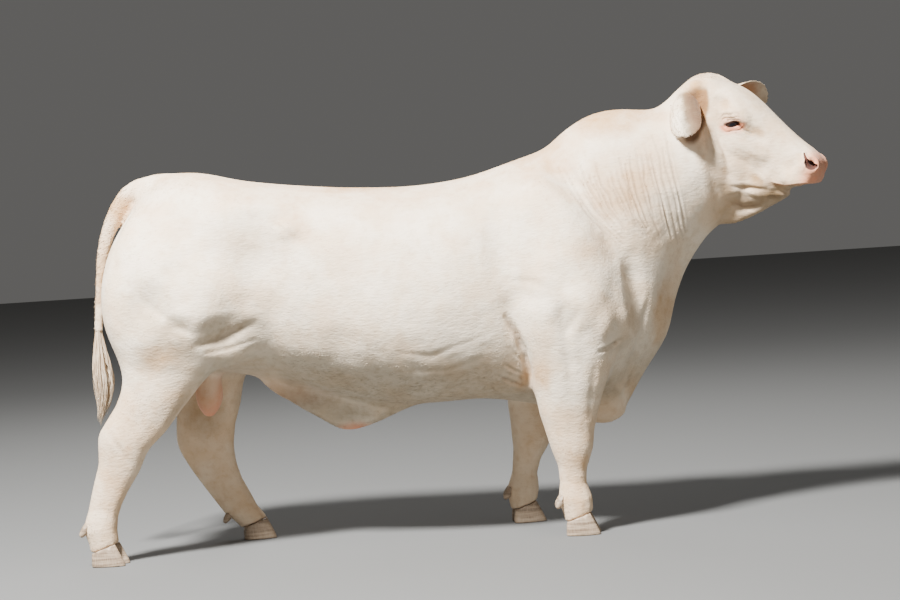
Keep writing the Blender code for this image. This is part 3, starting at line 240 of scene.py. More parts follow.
# Colours of the eyes and claws
EYE_WHITE, IRIS, PUPIL = (0.3, 0.17, 0.13), (0.02, 0.01, 0.007), (0.004, 0.004, 0.006)
HORN, HORN_DARK, HORN_PALE = (0.42, 0.31, 0.21), (0.2, 0.135, 0.085), (0.5, 0.4, 0.3)

# Marks on both sides: place, half lengths and share
TAN_PLACES = (
    (0.62, 0.05, 1.5, 0.36, 0.22, 0.15, 0.62),
    (0.36, 0.06, 1.34, 0.24, 0.2, 0.14, 0.62),
    (0.41, 0.16, 1.3, 0.06, 0.14, 0.1, 0.35),
    (-1.18, 0.02, 1.31, 0.16, 0.12, 0.15, 0.6),
    (-1.28, 0.0, 1.06, 0.12, 0.08, 0.46, 0.55),
    (-0.56, 0.26, 1.16, 0.14, 0.14, 0.1, 0.26),
    (-0.75, 0.1, 1.34, 0.18, 0.16, 0.08, 0.26),
    (-1.06, 0.33, 0.69, 0.15, 0.12, 0.07, 0.42),
    (0.26, 0.24, 0.57, 0.07, 0.14, 0.09, 0.55),
    (0.43, 0.3, 0.29, 0.06, 0.09, 0.07, 0.62),
    (-1.19, 0.31, 0.38, 0.06, 0.09, 0.09, 0.62),
    (-0.99, 0.2, 0.27, 0.07, 0.09, 0.08, 0.42),
    (0.77, 0.08, 0.78, 0.07, 0.12, 0.15, 0.45),
    (0.64, 0.03, 0.5, 0.06, 0.08, 0.1, 0.35),
    (-0.36, 0.05, 1.28, 0.46, 0.2, 0.07, 0.65),
    (0.66, 0.18, 1.22, 0.2, 0.16, 0.26, 0.45),
    (-1.2, 0.16, 0.95, 0.1, 0.12, 0.22, 0.2),
    (0.4, 0.26, 0.22, 0.16, 0.16, 0.34, 0.4),
    (-1.22, 0.26, 0.22, 0.18, 0.16, 0.34, 0.4),
    (-0.9, 0.22, 0.22, 0.18, 0.16, 0.34, 0.4),
    (-0.62, 0.2, 1.24, 0.16, 0.12, 0.08, 0.3),
    (0.52, 0.26, 1.0, 0.18, 0.14, 0.16, 0.25),
)
PINK_PLACES = (
    (-0.38, 0.0, 0.4, 0.1, 0.08, 0.06, 0.85),
    (-0.9, 0.0, 0.52, 0.14, 0.1, 0.2, 0.85),
    (-1.13, 0.0, 1.2, 0.05, 0.05, 0.12, 0.7),
    (-0.62, 0.0, 0.56, 0.3, 0.16, 0.1, 0.12),
)
FACE_TAN = (
    # The first two rows lie in the hollows before and above the eye; their tan is partly painted shade
    (0.3, 0.09, -0.028, 0.06, 0.06, 0.04, 0.42),
    (0.146, 0.105, -0.012, 0.05, 0.07, 0.05, 0.42),
    (0.02, 0.105, -0.03, 0.08, 0.08, 0.08, 0.6),
    (0.47, 0.06, -0.02, 0.06, 0.06, 0.04, 0.35),
    (0.48, 0.06, -0.15, 0.1, 0.06, 0.05, 0.4),
    (0.39, 0.07, -0.18, 0.06, 0.06, 0.05, 0.45),
    (0.26, 0.11, -0.22, 0.14, 0.07, 0.07, 0.4),
    (0.0, 0.0, 0.01, 0.14, 0.1, 0.05, 0.34),
    (0.23, 0.0, 0.02, 0.16, 0.07, 0.04, 0.24),
    (0.33, 0.11, -0.12, 0.08, 0.06, 0.06, 0.3),
)

# Painted shade of the face, in its hollows and under the jaw and chin
FACE_PAINTED_SHADE = (
    (0.475, 0.05, -0.195, 0.12, 0.1, 0.065, 0.9),
    (0.395, 0.07, -0.172, 0.05, 0.05, 0.022, 0.7),
    (0.32, 0.11, -0.262, 0.13, 0.08, 0.04, 0.6),
    (0.08, 0.11, -0.1, 0.06, 0.08, 0.08, 0.15),
    (0.3, 0.085, -0.034, 0.04, 0.05, 0.024, 0.3),
    (0.146, 0.11, -0.014, 0.03, 0.05, 0.025, 0.25),
)

# Painted shade on both sides, in hollows and under the belly: x, z, half lengths and share
PAINTED_SHADE_PLACES = (
    (-0.78, 0.8, 0.18, 0.1, 0.5),
    (-1.0, 0.74, 0.16, 0.08, 0.34),
    (0.66, 0.86, 0.06, 0.22, 0.18),
    (-0.95, 0.5, 0.1, 0.12, 0.55),
    (-0.6, 0.52, 0.26, 0.09, 0.6),
    (-0.42, 0.47, 0.2, 0.07, 0.45),
    (-0.1, 0.62, 0.6, 0.16, 0.2),
    (-0.2, 0.56, 0.4, 0.06, 0.12),
    (-1.08, 0.93, 0.12, 0.12, 0.26),
    (-0.96, 0.84, 0.08, 0.06, 0.34),
    (0.3, 0.9, 0.1, 0.05, 0.22),
    (0.42, 0.77, 0.08, 0.08, 0.22),
    (-0.7, 1.15, 0.18, 0.14, 0.18),
    (0.7, 1.14, 0.14, 0.16, 0.14),
)

# Hair: lengths in metres, and where along x the trunk's tufts are parted into pieces
HAIR_LENGTH, FACE_HAIR_LENGTH = 0.0095, 0.0062
TRUNK_CUTS = (-2.0, -0.72, -0.2, 0.36, 2.0)

# One tuft's triangles, and where its corners lie in its patch of the unwrap
TUFT_FACES = (
    *((0, 2, 1), (0, 1, 4), (0, 4, 3), (1, 2, 5), (1, 5, 4)),
    *((2, 0, 3), (2, 3, 5), (3, 4, 6), (4, 5, 6), (5, 3, 6)),
)
TUFT_SPREAD = ((-1, -1), (1, -1), (0, -0.9), (-0.8, 0.1), (0.8, 0.1), (0, 0.2), (0, 1.0))
BAKE_PATCH = 0.003
SEED = 11

# Lamps: name, place, size in metres and power in watts
LAMPS = (
    ("key_light", (-2.8, -4.4, 7.0), 1.3, 3800.0),
    ("fill_light", (5.5, -6.5, 2.0), 5.0, 70.0),
    ("back_light", (-1.0, 5.0, 5.0), 3.0, 180.0),
)
LAMPS_AIM = (0.0, 0.0, 0.8)
SKY, SKY_STRENGTH = (0.92, 0.9, 0.87), 0.13
FLOOR, FLOOR_HALF = (0.13, 0.13, 0.125), 30.0

# The photo's camera: lengths on the picture in pixels, the sensor in millimetres and the place in metres
CAMERA_FOCUS, PHOTO_WIDTH, HORIZON_ABOVE = 2348.0, 900.0, 100.0
CAMERA_AT, CAMERA_ROLL = (0.0, -8.62, 1.227), math.radians(3.7)
SENSOR_WIDTH = 36.0


def step(low, high, values):
    """0 up to low, 1 from high on, and smooth between."""
    t = np.clip((values - low) / (high - low), 0.0, 1.0)
    return t * t * (3.0 - 2.0 * t)


def spot(points, centre, radii):
    """A soft round mask about a place, 1 in its middle."""
    gap = np.linalg.norm((points - np.asarray(centre)) / np.asarray(radii), axis=1)
    return np.clip(1.0 - gap * gap, 0.0, 1.0) ** 2


def both_sides(points, x, y, z, *radii):
    """Soft round masks about a place and its mirror image."""
    return np.maximum(spot(points, (x, y, z), radii), spot(points, (x, -y, z), radii))


def side_spot(points, x, z, rx, rz):
    """A round mask drawn on both sides of the animal, 1 in its middle."""
    gap = ((points[:, 0] - x) / rx) ** 2 + ((points[:, 2] - z) / rz) ** 2
    return np.clip(1.0 - gap, 0.0, 1.0)


def line_gap(points, line):
    """How far each point is from a line of places, and how far along it, from 0 to 1."""
    line = np.asarray(line, float)
    runs = np.linalg.norm(np.diff(line, axis=0), axis=1)
    before = np.concatenate(((0.0,), np.cumsum(runs)))
    nearest = np.full(len(points), np.inf)
    along = np.zeros(len(points))
    for start, end, run, done in zip(line[:-1], line[1:], runs, before):
        t = np.clip((points - start) @ (end - start) / run**2, 0.0, 1.0)
        gap = np.linalg.norm(points - start - t[:, None] * (end - start), axis=1)
        closer = gap < nearest
        nearest = np.where(closer, gap, nearest)
        along = np.where(closer, (done + t * run) / before[-1], along)
    return nearest, along


def grain(points, size, seed):
    """Smooth seeded noise from -1 to 1, its waves of about the given size, one for all ways or three."""
    scaled = points / np.asarray(size)
    cell = np.floor(scaled).astype(np.int64)
    part = scaled - cell
    part = part * part * (3.0 - 2.0 * part)
    total = np.zeros(len(points))
    for corner in itertools.product((0, 1), repeat=3):
        key = (cell + np.array(corner)) @ np.array((73856093, 19349663, 83492791)) + seed * 374761393
        key = (key ^ (key >> 13)) * 1274126177
        value = ((key ^ (key >> 16)) & 65535) / 32767.5 - 1.0
        total += value * np.prod(np.where(corner, part, 1.0 - part), axis=1)
    return total


def head_frame():
    yaw, pitch = Matrix.Rotation(HEAD_YAW, 4, "Z"), Matrix.Rotation(HEAD_PITCH, 4, "Y")
    return Matrix.Translation(POLL) @ yaw @ pitch @ Matrix.Rotation(HEAD_ROLL, 4, "X")


HEAD = np.array(head_frame())


def in_head(points):
    """Places in the head's frame."""
    return (points - HEAD[:3, 3]) @ HEAD[:3, :3]


def mirrored(points):
    """Places in the head's frame, with those of the right side brought over to the left."""
    folded = in_head(points)
    folded[:, 1] = np.abs(folded[:, 1])
    return folded


def from_head(points):
    return np.asarray(points, float) @ HEAD[:3, :3].T + HEAD[:3, 3]


def numbers(items, name, width, kind=np.float64):
    """One named value of every vertex, edge or face as an array."""
    flat = np.empty(len(items) * width, dtype=np.float32 if kind is np.float64 else kind)
    items.foreach_get(name, flat)
    return flat.reshape(-1, width).astype(kind) if width > 1 else flat.astype(kind)


def shown(name, mesh):
    piece = bpy.data.objects.new(name, mesh)
    bpy.context.scene.collection.objects.link(piece)
    return piece


def rounded(mesh):
    mesh.polygons.foreach_set("use_smooth", [True] * len(mesh.polygons))
    mesh.update()
    return mesh


@contextlib.contextmanager
def opened(mesh):
    """The mesh in a form whose corners and faces can be changed, written back at the end."""
    work = bmesh.new()
    work.from_mesh(mesh)
    yield work
    work.to_mesh(mesh)
    work.free()


def outward(mesh):
    """The mesh with all its faces turned outward."""
    with opened(mesh) as work:
        bmesh.ops.recalc_face_normals(work, faces=work.faces)
    return mesh


def node_mesh(name, grow=0.0):
    """A welded copy of a node's mesh, grown a little."""
    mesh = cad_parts[name].data.copy()
    with opened(mesh) as work:
        bmesh.ops.remove_doubles(work, verts=work.verts, dist=1e-6)
        bmesh.ops.recalc_face_normals(work, faces=work.faces)
        work.normal_update()
        for vertex in work.verts:
            vertex.co += grow * vertex.normal
    mesh.materials.clear()
    return mesh


def ball_mesh(centre, radii, steps=24):
    work = bmesh.new()
    place = Matrix.Translation(centre) @ Matrix.Diagonal((*radii, 1.0))
    bmesh.ops.create_uvsphere(work, u_segments=steps, v_segments=steps // 2, radius=1.0, matrix=place)
    mesh = bpy.data.meshes.new("ball")
    work.to_mesh(mesh)
    work.free()
    return mesh


def joined(meshes):
    work = bmesh.new()
    for mesh in meshes:
        work.from_mesh(mesh)
    whole = bpy.data.meshes.new("joined")
    work.to_mesh(whole)
    work.free()
    return whole


def modified(mesh, kind, **settings):
    """The mesh after one modifier."""
    piece = shown("work", mesh)
    change = piece.modifiers.new("change", kind)
    for name, value in settings.items():
        setattr(change, name, value)
    made = bpy.data.meshes.new_from_object(piece.evaluated_get(bpy.context.evaluated_depsgraph_get()))
    bpy.data.objects.remove(piece)
    return made


def largest_part(mesh):
    """The mesh without loose islands."""
    with opened(mesh) as work:
        left = set(work.verts)
        islands = []
        while left:
            ring = [left.pop()]
            island = list(ring)
            while ring:
                near = {e.other_vert(v) for v in ring for e in v.link_edges} & left
                left -= near
                ring = list(near)
                island += ring
            islands.append(island)
        islands.sort(key=len)
        for island in islands[:-1]:
            bmesh.ops.delete(work, geom=island, context="VERTS")
    return mesh


def tree_of(mesh):
    """The mesh's surface, for the nearest place on it and for rays."""
    places = [vertex.co.copy() for vertex in mesh.vertices]
    return BVHTree.FromPolygons(places, [tuple(face.vertices) for face in mesh.polygons])


class Skin:
    """The skin's mesh with its places and outward directions as arrays."""

    def __init__(self, mesh):
        self.mesh = mesh
        self.read()

    def read(self):
        self.mesh.update()
        self.at = numbers(self.mesh.vertices, "co", 3) - SHIFT
        self.out = numbers(self.mesh.vertex_normals, "vector", 3)
        self.edges = numbers(self.mesh.edges, "vertices", 2, np.int32)

    def write(self):
        self.mesh.vertices.foreach_set("co", (self.at + SHIFT).ravel())
        self.mesh.update()
        self.out = numbers(self.mesh.vertex_normals, "vector", 3)

    def push(self, amount):
        """Moves the skin out by the amounts, or in where they are negative."""
        self.at += self.out * amount[:, None]
        self.write()

    def paint_crease_shade(self, amount):
        """Notes painted shade in creases, where it is more than what is noted already."""
        self.crease_shade = np.maximum(self.crease_shade, amount)

    def neighbours(self):
        """The ends of every edge both ways round, and how many edges meet at each vertex."""
        ends = self.edges.T
        here, there = np.concatenate(ends), np.concatenate(ends[::-1])
        return here, there, np.maximum(np.bincount(here, minlength=len(self.at)), 1)

    def smooth(self, rounds, weight):
        here, there, degree = self.neighbours()
        weight = np.reshape(weight, (-1, 1))
        for _ in range(rounds):
            sums = [np.bincount(here, self.at[there, k], len(self.at)) for k in range(3)]
            self.at += weight * (np.column_stack(sums) / degree[:, None] - self.at)
        self.write()

    def even(self, values, rounds):
        """Spreads values over neighbours."""
        here, there, degree = self.neighbours()
        for _ in range(rounds):
            values = 0.5 * values + 0.5 * np.bincount(here, values[there], len(values)) / degree
        return values

    def refine(self, chosen):
        """Splits every face whose corners are all chosen into four."""
        keep = chosen.tolist()
        with opened(self.mesh) as work:
            faces = [face for face in work.faces if all(keep[v.index] for v in face.verts)]
            edges = list({edge for face in faces for edge in face.edges})
            bmesh.ops.subdivide_edges(work, edges=edges, cuts=1, use_grid_fill=True)
        self.read()


def on_face(points):
    """1 on the head, 0 behind its joint with the neck."""
    (x, _, z), (dx, dz) = HEAD_CUT[0], HEAD_CUT[1]
    side = np.array((-dz, 0.0, dx)) / math.hypot(dx, dz)
    return step(-0.03, 0.03, (points - np.array((x, 0.0, z))) @ side)


def on_legs(points):
    """1 on the lower legs."""
    x, _, z = points.T
    front = step(0.05, 0.12, x) * step(0.50, 0.42, z) * (x < 0.62)
    hind = step(-0.60, -0.68, x) * step(0.68, 0.58, z)
    return np.maximum(front, hind)


def lift_to_solids(skin, tree, rounds, weight):
    """Brings the smoothed skin back to the solids' surface, without their facets."""
    gaps = np.zeros(len(skin.at))
    for i in np.nonzero(weight > 0.01)[0]:
        place = Vector(skin.at[i] + SHIFT)
        hit = tree.find_nearest(place)
        gaps[i] = (hit[0] - place).dot(Vector(skin.out[i]))
    gaps = np.clip(gaps, -0.012, 0.012) * weight
    skin.push(skin.even(gaps, rounds))


def make_skin():
    """The flesh nodes as one closed skin, smoothed and fine where the forms are small."""
    meshes = [node_mesh(name, OVERLAP) for name in FLESH]
    inside_nostril = np.array(NOSTRIL_AT) - NOSTRIL_BALL_DEPTH * np.array(NOSTRIL_LOOK)
    for side in SIDES:
        for place, radius in ((np.array(SOCKET_AT), SOCKET_RADIUS), (inside_nostril, NOSTRIL_BALL)):
            meshes.append(ball_mesh(from_head(place * (1, side, 1)) + SHIFT, (radius,) * 3))
    tree = tree_of(joined([node_mesh(name) for name in FLESH]))
    skin = Skin(largest_part(modified(joined(meshes), "REMESH", mode="VOXEL", voxel_size=VOXEL)))
    face, legs = on_face(skin.at), on_legs(skin.at)
    tail = step(-1.08, -1.14, skin.at[:, 0]) * step(0.10, 0.06, np.abs(skin.at[:, 1]))
    fine = np.maximum.reduce((face, legs, tail))
    skin.smooth(14, 0.5 * (1.0 - 0.55 * fine))
    skin.smooth(50, 0.5 * (1.0 - fine))
    neck = step(0.42, 0.46, skin.at[:, 0] + 0.226 * (skin.at[:, 2] - 1.48))
    low_legs = legs * step(0.24, 0.20, skin.at[:, 2])
    sides = neck * step(0.15, 0.35, np.abs(skin.out[:, 1]))
    skin.refine(np.maximum.reduce((face, low_legs, sides, tail)) > 0.5)
    skin.smooth(4, 0.5)
    lift_to_solids(skin, tree, 8, np.maximum(on_face(skin.at), 0.8 * on_legs(skin.at)))
    head = in_head(skin.at)
    small = np.maximum(step(0.37, 0.41, head[:, 0]), both_sides(head, *EYE_REGION))
    skin.refine((small > 0.05) & (on_face(skin.at) > 0.5))
    skin.smooth(2, 0.5 * on_face(skin.at))
    return skin


def unit(vectors):
    return vectors / np.maximum(np.linalg.norm(vectors, axis=-1, keepdims=True), 1e-9)


def eye_axes(side):
    """The slit's direction, the way up over the lid and the look of one eye, in the frame."""
    look = unit(np.array(EYE_LOOK) * (1, side, 1))
    along = np.array((math.cos(SLIT_SLANT), 0.0, math.sin(SLIT_SLANT)))
    along = unit(along - look * (along @ look))
    over = np.cross(along, look)
    over *= 1.0 if over[2] > 0 else -1.0
    return np.array((along, over, look)) @ HEAD[:3, :3].T


def in_eye(points, side):
    """Places in one eye's own frame: along the slit, up, and out of the head."""
    return (points - from_head(np.array(EYE_AT) * (1, side, 1))) @ eye_axes(side).T


def slit_share(local):
    """1 on the edge of the eye's opening, less inside it and more outside."""
    x = local[:, 0] / (0.5 * SLIT_LENGTH)
    y = local[:, 1] / (0.5 * SLIT_HEIGHT)
    across = 1.0 + (np.hypot(x, y * 0.45) - 1.0).clip(0.0, None)
    return np.sqrt(x * x + y * y / across) * np.where(np.abs(x) < 1.0, 1.0, 1.0 + 0.3 * (np.abs(x) - 1.0))


def eyeball_height(x, y):
    inside = 1.0 - (x / EYE_RADII[0]) ** 2 - (y / EYE_RADII[1]) ** 2
    return EYE_RADII[2] * np.sqrt(np.maximum(inside, 0.02))


def lid_mesh(side, tree):
    """A ring of lid round the slit, resting on the eyeball and running out under the skin."""
    axes = eye_axes(side)
    centre = from_head(np.array(EYE_AT) * (1, side, 1))
    rows, points = len(LID_ROWS), []
    for (stretch, onto_skin, lift), i in itertools.product(LID_ROWS, range(LID_STEPS)):
        turn = 2.0 * math.pi * i / LID_STEPS
        height = 1.0 + (stretch - 1.0) * (2.6 if math.sin(turn) > 0 else 2.1)
        x = 0.5 * SLIT_LENGTH * stretch * math.cos(turn)
        y = 0.5 * SLIT_HEIGHT * height * math.sin(turn) * abs(math.sin(turn)) ** 0.25
        ball = eyeball_height(x, y)
        above = centre + x * axes[0] + y * axes[1] + RAY_START * axes[2]
        hit = tree.ray_cast(Vector(above + SHIFT), Vector(-axes[2]))
        level = RAY_START - hit[3] if hit[0] else ball
        z = ball + (level - ball) * onto_skin + lift
        points.append(centre + x * axes[0] + y * axes[1] + z * axes[2] + SHIFT)
    faces = []
    for row, i in itertools.product(range(rows), range(LID_STEPS)):
        here, below = row * LID_STEPS, (row + 1) % rows * LID_STEPS
        j = (i + 1) % LID_STEPS
        faces.append((here + i, here + j, below + j, below + i))
    mesh = bpy.data.meshes.new("lid")
    mesh.from_pydata([tuple(p) for p in points], [], faces)
    return outward(mesh)


def ear_mesh(name, root):
    """The ear's solid, made fine and given a root inside the head."""
    inner = np.array(root) + EAR_ROOT_RADIUS * unit(from_head((0.10, 0.0, -0.12)) - root)
    meshes = [node_mesh(name, 0.0004), ball_mesh(inner + SHIFT, (EAR_ROOT_RADIUS,) * 3)]
    ear = Skin(largest_part(modified(joined(meshes), "REMESH", mode="VOXEL", voxel_size=EAR_VOXEL)))
    ear.smooth(7, 0.4)
    return ear.mesh


def united(mesh, others):
    """The skin with the other closed meshes grown onto it."""
    group = bpy.data.collections.new("grown")
    bpy.context.scene.collection.children.link(group)
    pieces = [bpy.data.objects.new("grown", other) for other in others]
    for piece in pieces:
        group.objects.link(piece)
    how = {"operation": "UNION", "solver": "MANIFOLD", "operand_type": "COLLECTION", "collection": group}
    made = modified(mesh, "BOOLEAN", **how)
    for piece in pieces:
        bpy.data.objects.remove(piece)
    bpy.data.collections.remove(group)
    return made


def flattened(points, way):
    """Places as seen along a direction."""
    way = unit(np.asarray(way))
    return points - (points @ way)[:, None] * way


def groove(gap, width):
    """A narrow groove's depth across, 1 in the middle."""
    return np.exp(-((gap / width) ** 2))


def pressed(gap, width, beside):
    """A groove's depth across, with the skin drawn up a little beside it."""
    return beside * groove(gap - 2.3 * width, 1.4 * width) - groove(gap, width)


def faded(along, margin, power):
    """1 in the middle of a line, less towards its ends."""
    return np.sin(np.pi * (margin + (1.0 - 2.0 * margin) * along)) ** power


def side_gap(points, line):
    """How far points are from a line drawn on the animal's side, and how far along it."""
    return line_gap(points[:, (0, 2)], line)


def neck_folds():
    """The fine folds from the crest down the neck's side, each a bent line with its depth."""
    rng = np.random.default_rng(SEED)
    first, middle, last = (np.array(guide) for guide in FOLD_GUIDES)
    for number in range(FOLD_COUNT):
        t = (number + rng.uniform(-0.22, 0.22)) / (FOLD_COUNT - 1)
        ends = (1 - t) * (1 - 2 * t) * first + 4 * t * (1 - t) * middle + t * (2 * t - 1) * last
        top, foot = ends[:2], ends[2:]
        high, low = rng.uniform(-0.03, 0.20), rng.uniform(0.72, 1.06)
        steps = np.linspace(high, low, 6)[:, None]
        line = top + (foot - top) * steps
        line[:, 0] -= 0.030 * np.sin(np.pi * steps[:, 0]) * (1.0 - t) + 0.004 * rng.normal(size=6)
        yield line, FOLD_DEPTH * rng.uniform(0.5, 1.5)


def sculpt_trunk(skin):
    """Muscles, hollows and folds of trunk, neck and legs, with painted shade in the lines and folds."""
    at = skin.at
    side = np.abs(skin.out[:, 1])
    amount = np.zeros(len(at))
    for *place, lift in SIDE_FORMS:
        amount += FORM_GAIN * lift * side_spot(at, *place) ** 2 * step(0.25, 0.6, side)
    plain = (1.0 - on_face(at)) * (1.0 - on_legs(at))
    low = step(0.80, 0.62, at[:, 2]) * step(0.30, 0.10, at[:, 0]) * step(-0.65, -0.45, at[:, 0])
    amount += (0.0013 + 0.0016 * low) * grain(at, (0.07, 0.07, 0.045), SEED) * step(0.4, 0.8, side) * plain
    amount += 0.0007 * grain(at, 0.028, SEED + 2) * step(0.3, 0.7, side) * plain
    skin.push(amount)
    for number, (line, width, depth, beside, dark) in enumerate(SIDE_LINES):
        gap, along = side_gap(skin.at, line)
        gap = gap + 0.35 * width * grain(skin.at, 0.04, SEED + 30 + number) * np.minimum(gap / width, 1.0)
        near = step(0.15, 0.45, np.abs(skin.out[:, 1])) * faded(along, 0.06, 0.7)
        near = near * step(0.05, 0.08, np.abs(skin.at[:, 1])) * (1.0 - on_face(skin.at))
        skin.push(near * depth * pressed(gap, width, 0.55 * beside))
        # Painted shade in the line's crease
        skin.paint_crease_shade(dark * near * groove(gap, 1.25 * width))
    for line, depth in neck_folds():
        gap, along = side_gap(skin.at, line)
        near = step(0.1, 0.4, np.abs(skin.out[:, 1])) * faded(along, 0.06, 0.5)
        near = near * (1.0 - 0.8 * on_face(skin.at))
        ridge = groove(gap - 2.2 * FOLD_WIDTH, 1.6 * FOLD_WIDTH)
        skin.push(near * depth * (0.35 * ridge - groove(gap, FOLD_WIDTH)))
        # Painted shade in each fold
        skin.paint_crease_shade(0.6 * near * groove(gap, 1.2 * FOLD_WIDTH))


def seen_gap(points, line, way, mirror):
    """How far places lie from a line of the face, as seen along a direction, and how far along it."""
    return line_gap(flattened(in_head(points), way), flattened(np.array(line) * mirror, way))


def facing(out, way, low, high):
    """1 where the skin faces a direction given in the head's frame."""
    return step(low, high, out @ (HEAD[:3, :3] @ way))


def open_nostril(skin, way, mirror, near):
    """One nostril's rim, and its hole sunk along the way it opens."""
    gap, along = seen_gap(skin.at, NOSTRIL, way, mirror)
    wide = np.interp(along, NOSTRIL_SHARES, NOSTRIL_WIDTHS)
    here = near * facing(skin.out, way, -0.3, 0.1) * (np.abs(in_head(skin.at)[:, 0] - 0.51) < 0.07)
    rim = NOSTRIL_RIM * groove(gap - 1.7 * wide, 0.9 * wide) * (1.0 - along)
    skin.at += skin.out * (rim * here)[:, None]
    hole = step(1.20, 0.60, gap / wide) * here
    # The hole's mask, later filled with painted shade
    skin.hole = np.maximum(skin.hole, step(1.25, 0.95, gap / wide) * here)
    opening = unit(np.array(NOSTRIL_OUT) * mirror) @ HEAD[:3, :3].T
    skin.at -= opening * (NOSTRIL_DEPTH * (0.25 + 0.75 * step(0.25, 0.6, along)) * hole)[:, None]
    skin.write()


def crease_face(skin, way, mirror, near):
    for line, width, depth, dark in FACE_LINES:
        gap, along = seen_gap(skin.at, line, way, mirror)
        here = near * facing(skin.out, way, 0.0, 0.3) * faded(along, 0.08, 0.7)
        skin.push(here * depth * pressed(gap, width, 0.3))
        # Painted shade in the crease
        skin.paint_crease_shade(dark * here * groove(gap, 1.2 * width))


def wrinkle_lids(skin, side):
    """Wrinkles round one eye, with painted shade in them: over it where the reach is positive, and under it
    where it is negative.
    """
    for reach, width, depth in LID_WRINKLES:
        local = in_eye(skin.at, side)
        gap = slit_share(local) - abs(reach)
        if reach > 0:
            arc = step(-0.1, 0.35, reach * local[:, 1] / 0.01)
        else:
            arc = step(0.1, 0.4, -local[:, 1] / 0.01)
        ends = step(1.5, 1.1, np.abs(local[:, 0]) / SLIT_LENGTH * 2)
        place = (np.abs(local[:, 2] - 0.015) < 0.04) * arc * ends
        skin.push(-depth * groove(gap, width) * place)
        # Painted shade in the wrinkle
        skin.paint_crease_shade(0.8 * groove(gap, 1.2 * width) * place)


def sculpt_mouth(skin):
    """The mouth's groove with its lips, the upper one hanging over, the chin drawn back, and painted shade
    in the groove.
    """
    folded, line = mirrored(skin.at), np.array(MOUTH)
    gap, along = line_gap(folded * MOUTH_FLAT, line * MOUTH_FLAT)
    near = on_face(skin.at) * step(0.0, 0.3, along)
    x, _, z = folded.T
    below = np.interp(x, line[:, 0], line[:, 2]) - z
    chin = step(0.0, 0.006, below) * step(0.060, 0.030, below) * step(0.42, 0.48, x) * step(0.58, 0.56, x)
    over = step(0.0, -0.006, below) * step(-0.045, -0.015, below) * step(0.42, 0.48, x)
    skin.push(on_face(skin.at) * (LIP_OVERHANG * over - CHIN_DEPTH * chin))
    skin.push(near * (MOUTH_LIP * groove(gap - 0.007, 0.004) - MOUTH_GROOVE * groove(gap, MOUTH_WIDTH)))
    # Painted shade in the mouth's groove
    skin.paint_crease_shade(near * groove(gap, 1.2 * MOUTH_WIDTH))
    skin.mouth = gap


def sculpt_head(skin):
    """Forms, nostrils, creases, lids and lips of the head."""
    for side in SIDES:
        mirror = np.array((1.0, side, 1.0))
        way = np.array(FACE_WAY) * mirror
        head, near = in_head(skin.at), on_face(skin.at)
        for *place, lift in HEAD_FORMS:
            swell = FORM_GAIN * lift * spot(head, place[:3] * mirror, place[3:]) * near
            skin.at += skin.out * swell[:, None]
        skin.write()
        open_nostril(skin, way, mirror, near)
        crease_face(skin, way, mirror, near)
        wrinkle_lids(skin, side)
        tear, _ = seen_gap(skin.at, TEAR_LINE, way, mirror)
        here = on_face(skin.at) * facing(skin.out, way, 0.0, 0.3)
        skin.push(-TEAR_DEPTH * groove(tear, TEAR_WIDTH) * here)
    sculpt_mouth(skin)


class Marks(dict):
    """The coat's markings and painted shade by name, each from 0 to 1 at every vertex."""

    def add(self, name, amount):
        """Brings a marking up to the amounts where it is below them."""
        self[name] = np.maximum(self[name], amount)


def tint_body(marks, at, out):
    """The body's tan and pink places, and painted shade in its hollows and under it."""
    wide, fine = (
        np.column_stack([grain(at, size, seed + k) for k in range(3)])
        for size, seed in ((0.11, SEED + 70), (0.035, SEED + 80))
    )
    strayed = at + 0.05 * wide + 0.02 * fine
    for *place, share in TAN_PLACES:
        marks.add("tan", share * both_sides(strayed, *place))
    for *place, share in PINK_PLACES:
        marks.add("pink", share * both_sides(at, *place))
    # Painted shade in the hollows and under the belly, on the faces turned sideways
    for *place, share in PAINTED_SHADE_PLACES:
        marks.add("shade", share * side_spot(at, *place) * step(0.2, 0.5, np.abs(out[:, 1])))
    marks.add("tan", 0.24 * on_legs(at))
    marks.add("tan", 0.22 * step(0.55, 0.90, out[:, 2]) * step(0.9, 1.1, at[:, 2]))
    # Painted shade under the body, where the skin faces down
    low = step(0.95, 0.55, at[:, 2]) * step(-0.2, -0.7, out[:, 2])
    marks.add("shade", 0.5 * low * (1.0 - on_legs(at)))


def tint_face(marks, skin, face):
    """The face's tan places, its painted shade in hollows and under the jaw and chin, the upright stripes
    behind the cheek, the muzzle and the lips.
    """
    folded = mirrored(skin.at)
    x, _, z = folded.T
    marks.add("tan", 0.20 * face)
    # The grey places are painted shade
    for name, places in (("tan", FACE_TAN), ("shade", FACE_PAINTED_SHADE)):
        for *place, share in places:
            marks.add(name, share * spot(folded, place[:3], place[3:]) * face)
    behind = spot(folded, (0.130, 0.120, -0.150), (0.09, 0.10, 0.14)) * face
    upright = np.clip(0.5 + 0.9 * grain(skin.at, (0.0045, 0.02, 0.05), SEED + 60), 0.0, 1.0)
    marks.add("tan", 0.55 * behind * upright)
    marks.add("shade", 0.30 * behind * (1.0 - upright))
    muzzle = step(0.475, 0.535, x + 0.35 * (z + 0.03)) * step(-0.115, -0.075, z) * face
    marks.add("pink", (0.74 + 0.14 * grain(skin.at, 0.02, SEED + 90)) * muzzle)
    lips = groove(np.maximum(skin.mouth - 0.003, 0.0), 0.006) * face * step(0.42, 0.50, x)
    marks.add("pink", 0.35 * lips)
    # Painted shade on the jaw's faces turned down
    marks.add("shade", 0.6 * face * step(-0.15, -0.7, skin.out[:, 2]) * step(0.30, 0.40, x))


